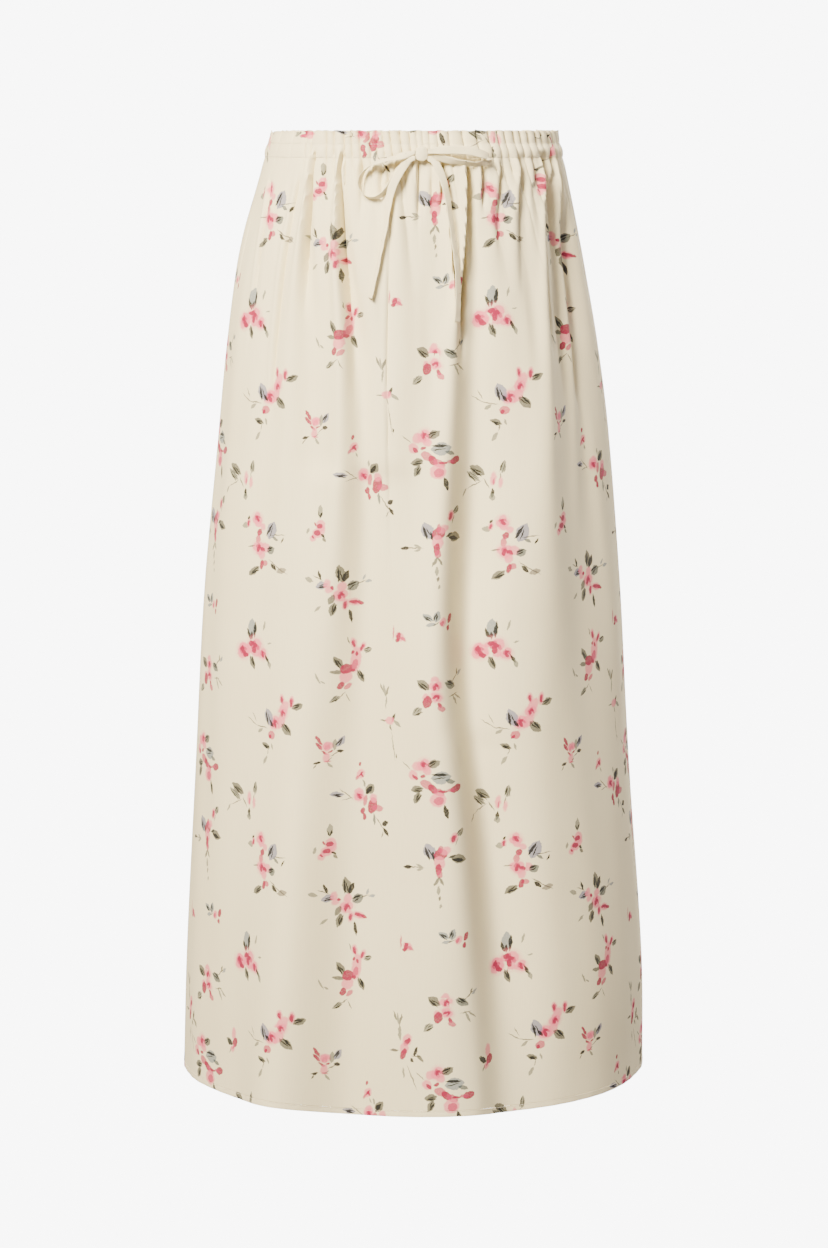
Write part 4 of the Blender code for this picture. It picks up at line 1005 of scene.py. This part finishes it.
def strokeSlots(table, mapping):
    # for each face of a grid, the strokes that cross it, the topmost slotCount of them
    faceAcross = (mapping[:-1, :-1, 0] + mapping[:-1, 1:, 0] + mapping[1:, :-1, 0] + mapping[1:, 1:, 0]) / 4
    faceUp = (mapping[:-1, :-1, 1] + mapping[1:, :-1, 1]) / 2
    halfW = np.abs(mapping[:-1, 1:, 0] - mapping[:-1, :-1, 0]) / 2
    halfH = np.abs(mapping[:-1, :-1, 1] - mapping[1:, :-1, 1]) / 2
    rows, columns = faceAcross.shape
    # along and aside turn a place on the cloth into the stroke's own sizes, where its edge is at 1
    slots = {label: np.zeros((rows * columns, slotCount, 3), np.float32) for label in slotLabels}
    slots["along"][:] = (0.0, 0.0, 9.0)
    slots["brush"][:] = (0.5, 1.0, 1.0)
    count = np.zeros(rows * columns, int)
    rowUp = faceUp[:, 0]
    rowHalf = halfH[:, 0]
    for px, py, halfLong, halfWide, angle, ink in table:
        reach = max(halfLong, halfWide) * 1.2 + 1.6  # with room for the brush's wobble
        name = inkNames[int(ink)]
        soft = min(softEdges.get(name, leafEdge) / halfWide, 0.85)
        c, s = math.cos(angle), math.sin(angle)
        values = {
            "along": (c / halfLong, s / halfLong, -(px * c + py * s) / halfLong),
            "aside": (-s / halfWide, c / halfWide, (px * s - py * c) / halfWide),
            "brush": ((ink + 0.5) / len(inks), soft, 2.0 if name in softEdges else 1.0),
        }
        for r in np.nonzero(np.abs(rowUp - py) < reach + rowHalf)[0]:
            first, last = np.searchsorted(faceAcross[r], (px - reach - 3.0, px + reach + 3.0))
            if first >= last:
                continue
            dx = faceAcross[r, first:last] - px
            dy = rowUp[r] - py
            along = dx * c + dy * s
            aside = -dx * s + dy * c
            w, h = halfW[r, first:last], rowHalf[r]
            near = np.abs(along) < halfLong * 1.15 + 1.3 + w * abs(c) + h * abs(s)
            near &= np.abs(aside) < halfWide * 1.25 + 1.3 + w * abs(s) + h * abs(c)
            for f in np.nonzero(near)[0] + first + r * columns:
                n = count[f]
                for label, slot in slots.items():
                    if n == slotCount:
                        slot[f, :-1] = slot[f, 1:]
                    slot[f, min(n, slotCount - 1)] = values[label]
                count[f] = min(n + 1, slotCount)
    return slots, int((count >= slotCount).sum())



class Wire:
    # a socket that takes part in sums
    def __init__(self, paint, socket):
        self.paint = paint
        self.socket = socket

    def maths(self, operation, other=None, flipped=False):
        values = (other, self) if flipped else (self, other)
        values = {n: value for n, value in enumerate(values) if value is not None}
        return self.paint.node("ShaderNodeMath", {"operation": operation}, values)

    def __add__(self, other):
        return self.maths("ADD", other)

    def __sub__(self, other):
        return self.maths("SUBTRACT", other)

    def __rsub__(self, other):
        return self.maths("SUBTRACT", other, True)

    def __mul__(self, other):
        return self.maths("MULTIPLY", other)

    def __truediv__(self, other):
        return self.maths("DIVIDE", other)

    def __rtruediv__(self, other):
        return self.maths("DIVIDE", other, True)

    def __pow__(self, other):
        return self.maths("POWER", other)

    __radd__ = __add__
    __rmul__ = __mul__


class Paint:
    # a material and one method that makes any of its nodes
    def __init__(self, name, roughness, sheen=0.0):
        self.material = bpy.data.materials.new(name)
        self.material.use_nodes = True
        self.tree = self.material.node_tree
        self.shader = self.tree.nodes["Principled BSDF"]
        self.shader.inputs["Roughness"].default_value = roughness
        self.shader.inputs["Sheen Weight"].default_value = sheen
        self.shader.inputs["Sheen Roughness"].default_value = 0.6
        self.shader.inputs["Specular IOR Level"].default_value = 0.25

    def node(self, kind, settings, values, output=0):
        made = self.tree.nodes.new(kind)
        for name, value in settings.items():
            if name == "stops":
                ramp = made.color_ramp
                for n, (place, colour) in enumerate(value):
                    stop = ramp.elements[n] if n < 2 else ramp.elements.new(place)
                    stop.position = place
                    stop.color = colour
            elif name == "interpolation":
                made.color_ramp.interpolation = value
            else:
                setattr(made, name, value)
        for key, value in values.items():
            if isinstance(value, Wire):
                self.tree.links.new(value.socket, made.inputs[key])
            else:
                made.inputs[key].default_value = value
        return Wire(self, made.outputs[output])

    def mix(self, share, first, second):
        settings = {"data_type": "RGBA", "clamp_factor": True}
        return self.node("ShaderNodeMix", settings, {"Factor": share, 6: first, 7: second}, 2)

    def noise(self, place, scale, detail, output=0):
        values = {"Vector": place, "Scale": scale, "Detail": detail}
        return self.node("ShaderNodeTexNoise", {}, values, output)

    def scaled(self, place, across, up):
        return self.node("ShaderNodeMapping", {"vector_type": "POINT"}, {0: place, 3: (across, up, 1.0)})

    def bump(self, height, strength, distance):
        values = {"Strength": strength, "Distance": distance, "Height": height}
        self.feed("Normal", self.node("ShaderNodeBump", {}, values))

    def vector(self, operation, *values):
        output = 1 if operation == "DOT_PRODUCT" else 0
        return self.node("ShaderNodeVectorMath", {"operation": operation}, dict(enumerate(values)), output)

    def outputs(self, wire):
        return [Wire(self, socket) for socket in wire.socket.node.outputs]

    def stepUp(self, value, low, high):
        settings = {"interpolation_type": "SMOOTHSTEP", "clamp": True}
        return self.node("ShaderNodeMapRange", settings, {0: value, 1: low, 2: high, 3: 0.0, 4: 1.0})

    def feed(self, name, value):
        self.tree.links.new(value.socket, self.shader.inputs[name])


cloth = {
    "cream": (0.810, 0.730, 0.500, 1),
    "creamDeep": (0.750, 0.659, 0.435, 1),
    "insideCream": (0.740, 0.659, 0.455, 1),
    "roughness": 0.72,
    "sheen": 0.08,
    "threads": 1.9,
    "printInside": 0.30,  # how much of the print shows through
}


def weave(paint, place, threads, strength):
    # crepe: fine uneven threads both ways, and a soft cloudiness of the weave
    grain = paint.noise(paint.scaled(place, threads, threads), 1.0, 2.0)
    slubs = paint.noise(paint.scaled(place, threads * 0.16, threads * 1.3), 1.0, 1.0)
    streaks = paint.noise(paint.scaled(place, threads * 0.42, threads * 0.02), 1.0, 2.0)
    paint.bump(grain * 0.45 + slubs * 0.20 + streaks * 0.55, strength, 0.0006)
    return grain, streaks


def deepened(paint, colour, layers):
    # the deeper cream shows through where a noise is between low and high, by a share
    for source, low, high, share in layers:
        colour = paint.mix(paint.stepUp(source, low, high) * share, colour, cloth["creamDeep"])
    return colour


def printedCloth(name, inside):
    paint = Paint(name, cloth["roughness"], cloth["sheen"])
    place = paint.node("ShaderNodeUVMap", {"uv_map": "cloth"}, {})
    grain, streaks = weave(paint, place, cloth["threads"], 0.22)
    cloud = paint.noise(place, 0.012, 3.0)
    layers = ((cloud, 0.35, 0.75, 0.35), (grain, 0.3, 0.8, 0.10), (streaks, 0.42, 0.70, 0.30))
    colour = deepened(paint, cloth["insideCream"] if inside else cloth["cream"], layers)
    # the brush: a slow wobble moves the strokes' edges, a dry one thins them
    wobble = paint.noise(place, 0.28, 1.5, 1)
    wobble = paint.vector("MULTIPLY", paint.vector("SUBTRACT", wobble, (0.5, 0.5, 0.5)), (2.4, 2.4, 0.0))
    brush = paint.vector("ADD", paint.vector("ADD", place, wobble), (0.0, 0.0, 1.0))
    dry = paint.noise(place, 0.7, 3.0)
    stops = [(k / len(inks), (*shade, share)) for k, (shade, share) in enumerate(inks.values())]
    settings = {"interpolation": "CONSTANT", "stops": stops}
    for n in range(slotCount):
        names = ["%s%d" % (label, n) for label in slotLabels]
        rows = [paint.node("ShaderNodeAttribute", {"attribute_name": name}, {}, 1) for name in names]
        along = paint.vector("DOT_PRODUCT", brush, rows[0])
        aside = paint.vector("DOT_PRODUCT", brush, rows[1])
        ink, soft, power = paint.outputs(paint.node("ShaderNodeSeparateXYZ", {}, {0: rows[2]}))
        reach = along * along + aside.maths("ABSOLUTE") ** power
        reach = (reach + (dry - 0.5) * 0.35 - 1.0) / soft
        cover = 1.0 - paint.stepUp(reach, -1.0, 0.35)
        shade, share = paint.outputs(paint.node("ShaderNodeValToRGB", settings, {0: ink}))
        cover = cover * share * (0.70 + dry * 0.55).maths("MINIMUM", 1.0)
        colour = paint.mix(cover * (cloth["printInside"] if inside else 1.0), colour, shade)
    paint.feed("Base Color", colour)
    return paint.material


def plainCloth(name):
    paint = Paint(name, cloth["roughness"], cloth["sheen"])
    place = paint.node("ShaderNodeUVMap", {"uv_map": "cloth"}, {})
    grain, _ = weave(paint, place, cloth["threads"], 0.25)
    cloud = paint.noise(place, 0.05, 2.0)
    colour = deepened(paint, cloth["cream"], ((cloud, 0.35, 0.75, 0.5), (grain, 0.3, 0.8, 0.10)))
    speck = paint.noise(place, 0.16, 1.0)
    colour = paint.mix(paint.stepUp(speck, 0.70, 0.76) * 0.7, colour, (0.10, 0.09, 0.07, 1))
    paint.feed("Base Color", colour)
    return paint.material


def threadMaterial():
    paint = Paint("creamThread", 0.6, 0.1)
    place = paint.node("ShaderNodeTexCoord", {}, {}, 3)
    twist = paint.noise(place, 1800.0, 1.0)
    paint.feed("Base Color", paint.mix(twist, (0.70, 0.64, 0.53, 1), (0.82, 0.77, 0.67, 1)))
    paint.bump(twist, 0.3, 0.0003)
    return paint.material


outsideCloth = printedCloth("printedCloth", False)
insideCloth = printedCloth("printedClothInside", True)
tieCloth = plainCloth("tieCloth")
thread = threadMaterial()
for piece in tiePieces.values():
    piece.data.materials.append(tieCloth)
print("materials made")

halves = {"front": (-90.0, 90.0), "back": (90.0, 270.0)}
# of every wall: half its cloth, the gap that each half keeps at a side seam, and its smoothing in degrees
wall = {"columns": 360, "half": 0.6, "seamGap": 0.12, "smooth": 58}


def gridMesh(name, points, uv):
    # a mesh of four-sided faces on rows of points, with the cloth's own place as its map
    rows, columns = points.shape[:2]
    grid = np.arange(rows * columns).reshape(rows, columns)
    corners = np.stack([grid[:-1, :-1], grid[1:, :-1], grid[1:, 1:], grid[:-1, 1:]], axis=2).reshape(-1, 4)
    mesh = bpy.data.meshes.new(name)
    mesh.vertices.add(rows * columns)
    mesh.vertices.foreach_set("co", points.ravel())
    mesh.loops.add(corners.size)
    mesh.loops.foreach_set("vertex_index", corners.ravel())
    mesh.polygons.add(len(corners))
    mesh.polygons.foreach_set("loop_start", np.arange(0, corners.size, 4))
    mesh.update(calc_edges=True)
    for label, places in uv.items():
        mesh.uv_layers.new(name=label).data.foreach_set("uv", places[corners.ravel()].ravel())
    return mesh


def clothPiece(name, node, side, heights, thick, bulge=None, edge=None):
    # one half's wall between its heights: the outer face is a grid, Solidify gives the thickness
    turns = np.linspace(*halves[side], wall["columns"] + 1)
    around, down = np.meshgrid(turns, heights)
    x, y, z = clothMiddle(around, down)
    calmX, calmY, _ = clothMiddle(around, down, True)
    run = np.hypot(np.diff(calmX, axis=1), np.diff(calmY, axis=1))
    across = np.concatenate([np.zeros((len(heights), 1)), np.cumsum(run, axis=1)], axis=1)
    middle = across[:, wall["columns"] // 2][:, None]
    mapping = np.stack([across - middle, down], axis=2)
    ax, ay = np.gradient(x, axis=1), np.gradient(y, axis=1)
    size = np.hypot(ax, ay)
    nx, ny = ay / size, -ax / size
    for end in (0, -1):
        nx[:, end], ny[:, end] = math.copysign(1, x[0, end]), 0
    out = wall["half"] + (bulge(down, around) if bulge else 0.0)
    x, y = x + nx * out, y + ny * out
    if edge:
        z = z + edge(down, around)
    for end in (0, -1):
        y[:, end] += wall["seamGap"] * (1 if side == "back" else -1)
    flat = mapping.reshape(-1, 2)
    wide = np.abs(flat[:, 0]).max() * 2.04
    tall = heights[0] - heights[-1]
    left = (flat[:, 0] / wide + 0.5) * 0.48 + 0.01
    unit = np.column_stack([left, (flat[:, 1] - heights[-1]) / tall * 0.98 + 0.01])
    mesh = gridMesh(name, np.stack([x, y, z], axis=2) * mm, {"cloth": flat, "OFBake": unit})
    slots, full = strokeSlots(strokes[side], mapping)
    for n in range(slotCount):
        for label, values in slots.items():
            made = mesh.attributes.new("%s%d" % (label, n), "FLOAT_VECTOR", "FACE")
            made.data.foreach_set("vector", np.ascontiguousarray(values[:, n]).ravel())
    mesh.materials.append(outsideCloth)
    mesh.materials.append(insideCloth)
    piece = linked(name, mesh)
    solid = piece.modifiers.new("wall", "SOLIDIFY")
    solid.thickness = thick * mm
    solid.offset = -1.0
    solid.material_offset = 1
    solid.material_offset_rim = 0
    solid.use_quality_normals = True
    applyAll(piece)
    bpy.ops.object.shade_smooth_by_angle(angle=math.radians(wall["smooth"]))
    # the inner faces take the other half of the bake map
    inner = np.zeros(len(piece.data.polygons), int)
    piece.data.polygons.foreach_get("material_index", inner)
    bake = piece.data.uv_layers["OFBake"].data
    unit = np.zeros(len(piece.data.loops) * 2)
    bake.foreach_get("uv", unit)
    unit[::2] += np.repeat(inner, 4) * 0.5
    bake.foreach_set("uv", unit)
    print(name, len(piece.data.polygons), "faces,", full, "full of strokes")
    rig.ride(piece, "root")
    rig.replaces(piece, node)
    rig.slot(piece, "printed_cloth")
    return piece


def casingBulge(height, turn):
    # the elastic rounds the channel out between its two stitched lines, unevenly
    t = np.clip(height / casingHalf, -1, 1)
    full = 0.25 + 0.75 * ease((np.abs(turn + 45) - 47.0) / 30.0)  # flat to the left of the bow
    return full * (1.2 * (1 - t**2) * (1 + 0.25 * np.sin(np.radians(turn) * 37)))


def headerLean(height, turn):
    t = (height - header["foot"]) / header["tall"]
    roll = 0.5 * ease((t - 0.7) / 0.3)  # the folded top edge is a little fuller
    return roll + 0.45 * t * np.sin(np.radians(turn) * 29 + 0.7) + 0.1


def headerEdge(height, turn):
    # the top edge rises and falls a little between its pinches
    t = ease((height - 9.0) / 10.5)
    corner = 2.6 * np.exp(-(((turn + 90.0) % 360.0 - 360.0 * (turn > 90)) / 15.0) ** 2)
    angle = np.radians(turn)
    return t * (0.35 * np.sin(angle * 43) + 0.25 * np.sin(angle * 71 + 1.0) - 0.3 - corner)


def hemBulge(height, turn):
    t = np.clip((height - hem["middle"]) / hem["half"], -1, 1)
    return 0.16 * (1 - t**2) + 0.08 * np.sin(np.radians(turn) * 61) * (1 - t)


panelRows = np.concatenate(
    [np.linspace(-7.0, -60, 24), np.linspace(-63, -140, 22), np.linspace(-145, -933.7, 84)]
)
clothParts = {
    # part: the front's node, the back's node, heights, thickness, bulge, edge
    "Panel": ("front_panel", "back_panel", panelRows, 1.0),
    "Casing": ("casing_front", "casing_back", np.linspace(6.9, -6.95, 13), 1.6, casingBulge),
    "Header": ("header_front", "header_back", np.linspace(19.3, 7.1, 12), 1.1, headerLean, headerEdge),
    "Hem": ("hem_front", "hem_back", np.linspace(-934, -940, 7), 1.7, hemBulge),
}
clothPieces = {}
for side in halves:
    for part, (frontNode, backNode, *rest) in clothParts.items():
        node = frontNode if side == "front" else backNode
        clothPieces[side + part] = clothPiece(side + part, node, side, *rest)
print("cloth made")

# stitches: one thread stitch, copied along the casing and the hem

stitch = {"length": 2.0, "thick": 0.34, "pitch": 2.7, "round": 0.22, "seam": 2.0}


def stitchRow(name, rows):
    deselectAll()
    bpy.ops.mesh.primitive_cylinder_add(vertices=6, radius=0.5, depth=1.0, rotation=(0, math.pi / 2, 0))
    one = bpy.context.object
    one.name = name
    bpy.ops.object.transform_apply(location=True, rotation=True, scale=True)
    bpy.ops.object.mode_set(mode="EDIT")
    bpy.ops.mesh.select_all(action="DESELECT")
    bpy.ops.object.mode_set(mode="OBJECT")
    for edge in one.data.edges:
        a, b = (one.data.vertices[v].co for v in edge.vertices)
        edge.select = abs(a.x - b.x) < 1e-4
    bpy.ops.object.mode_set(mode="EDIT")
    bpy.ops.mesh.bevel(offset=stitch["round"], segments=2, affect="EDGES")
    bpy.ops.object.mode_set(mode="OBJECT")
    shape = np.array([v.co for v in one.data.vertices])
    faces = [tuple(p.vertices) for p in one.data.polygons]
    points, polygons = [], []
    half = stitch["length"] / 2
    for side, height, outward in rows:
        turns = np.linspace(*halves[side], 2400)
        x, y, z = clothMiddle(turns, np.full_like(turns, height))
        run = np.concatenate([[0], np.cumsum(np.hypot(np.diff(x), np.diff(y)))])
        stops = np.arange(stitch["seam"], run[-1] - stitch["seam"], stitch["pitch"])
        for n, stop in enumerate(stops):
            ends = (stop - half, stop + half)
            a, b = (np.array([np.interp(end, run, x), np.interp(end, run, y)]) for end in ends)
            way = (b - a) / np.linalg.norm(b - a)
            normal = np.array([way[1], -way[0]])
            lift = np.interp(stop, run, z) + 0.12 * math.sin(n * 2.1)
            middle = (a + b) / 2 + normal * (outward + wall["half"])
            base = len(points) * len(shape)
            flat = middle + np.outer(shape[:, 0] * stitch["length"], way)
            flat = flat + np.outer(shape[:, 1] * stitch["thick"], normal)
            up = lift + shape[:, 2] * stitch["thick"] + shape[:, 0] * 0.25 * math.sin(n * 1.3)
            points.append(np.column_stack([flat, up]) * mm)
            polygons += [tuple(v + base for v in face) for face in faces]
    mesh = bpy.data.meshes.new(name)
    mesh.from_pydata(np.concatenate(points).tolist(), [], polygons)
    mesh.update()
    mesh.shade_smooth()
    mesh.materials.append(thread)
    one.data = mesh
    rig.ride(one, "root")
    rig.slot(one, "printed_cloth")
    return one


waistRows = [(side, height, 0.22) for side in ("front", "back") for height in (6.2, -6.2)]
stitchRow("waistStitches", waistRows)
stitchRow("hemStitches", [(side, -934.6, 0.3) for side in ("front", "back")])
print("stitches made")

knot = {"middle": (8.8, -107.57, -2.9), "size": (11.0, 7.0, 12.7), "cuts": 9, "round": 0.42, "wrap": 0.34}


def knotPiece():
    deselectAll()
    bpy.ops.mesh.primitive_cube_add(size=1.0)
    piece = bpy.context.object
    piece.name = "bowKnot"
    bpy.ops.object.mode_set(mode="EDIT")
    bpy.ops.mesh.subdivide(number_cuts=knot["cuts"])
    bpy.ops.mesh.select_all(action="SELECT")
    bpy.ops.transform.tosphere(value=knot["round"])
    bpy.ops.object.mode_set(mode="OBJECT")
    size = np.array(knot["size"])
    for vertex in piece.data.vertices:
        p = np.array(vertex.co)
        band = math.exp(-((p[0] / knot["wrap"]) ** 4))  # the wrap that crosses over the middle
        pleat = 0.035 * math.sin(p[0] * 26 + p[2] * 7) * band
        p[1] *= 0.88 + 0.16 * band
        p[1] += math.copysign(pleat, p[1]) if abs(p[1]) > 0.1 else 0.0
        p[2] *= 0.90 + 0.12 * band
        p[0] *= 1.02 - 0.22 * abs(p[2]) ** 2
        vertex.co = [float(v) for v in (p * size * 1.02 + np.array(knot["middle"])) * mm]
    piece.data.shade_smooth()
    piece.data.materials.append(tieCloth)
    layer = piece.data.uv_layers[0]
    layer.name = "cloth"
    for corner in piece.data.loops:
        co = piece.data.vertices[corner.vertex_index].co
        layer.data[corner.index].uv = (co.x / mm + co.y / mm, co.z / mm)
    smooth = piece.modifiers.new("smooth", "SUBSURF")
    smooth.levels = 1
    smooth.render_levels = 1
    applyAll(piece)
    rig.ride(piece, "root")
    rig.replaces(piece, "bow_knot")
    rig.slot(piece, "tie_cloth")


knotPiece()
print("knot made")

# what the cloth pieces were cut to

for side in ("front", "back"):
    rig.sheet(
        clothPieces[side + "Panel"],
        flat=(0.72, 0.98),
        area=0.60,
        held="gathered",
        rests_on=[side + "Casing"],
        with_pieces=[clothPieces[side + part] for part in ("Header", "Casing", "Hem")],
    )
endBox = [[float(v) for v in corner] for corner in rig.bounds()]
with open("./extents.json", "w") as file:
    json.dump({"cad": startBox, "visual": endBox}, file)
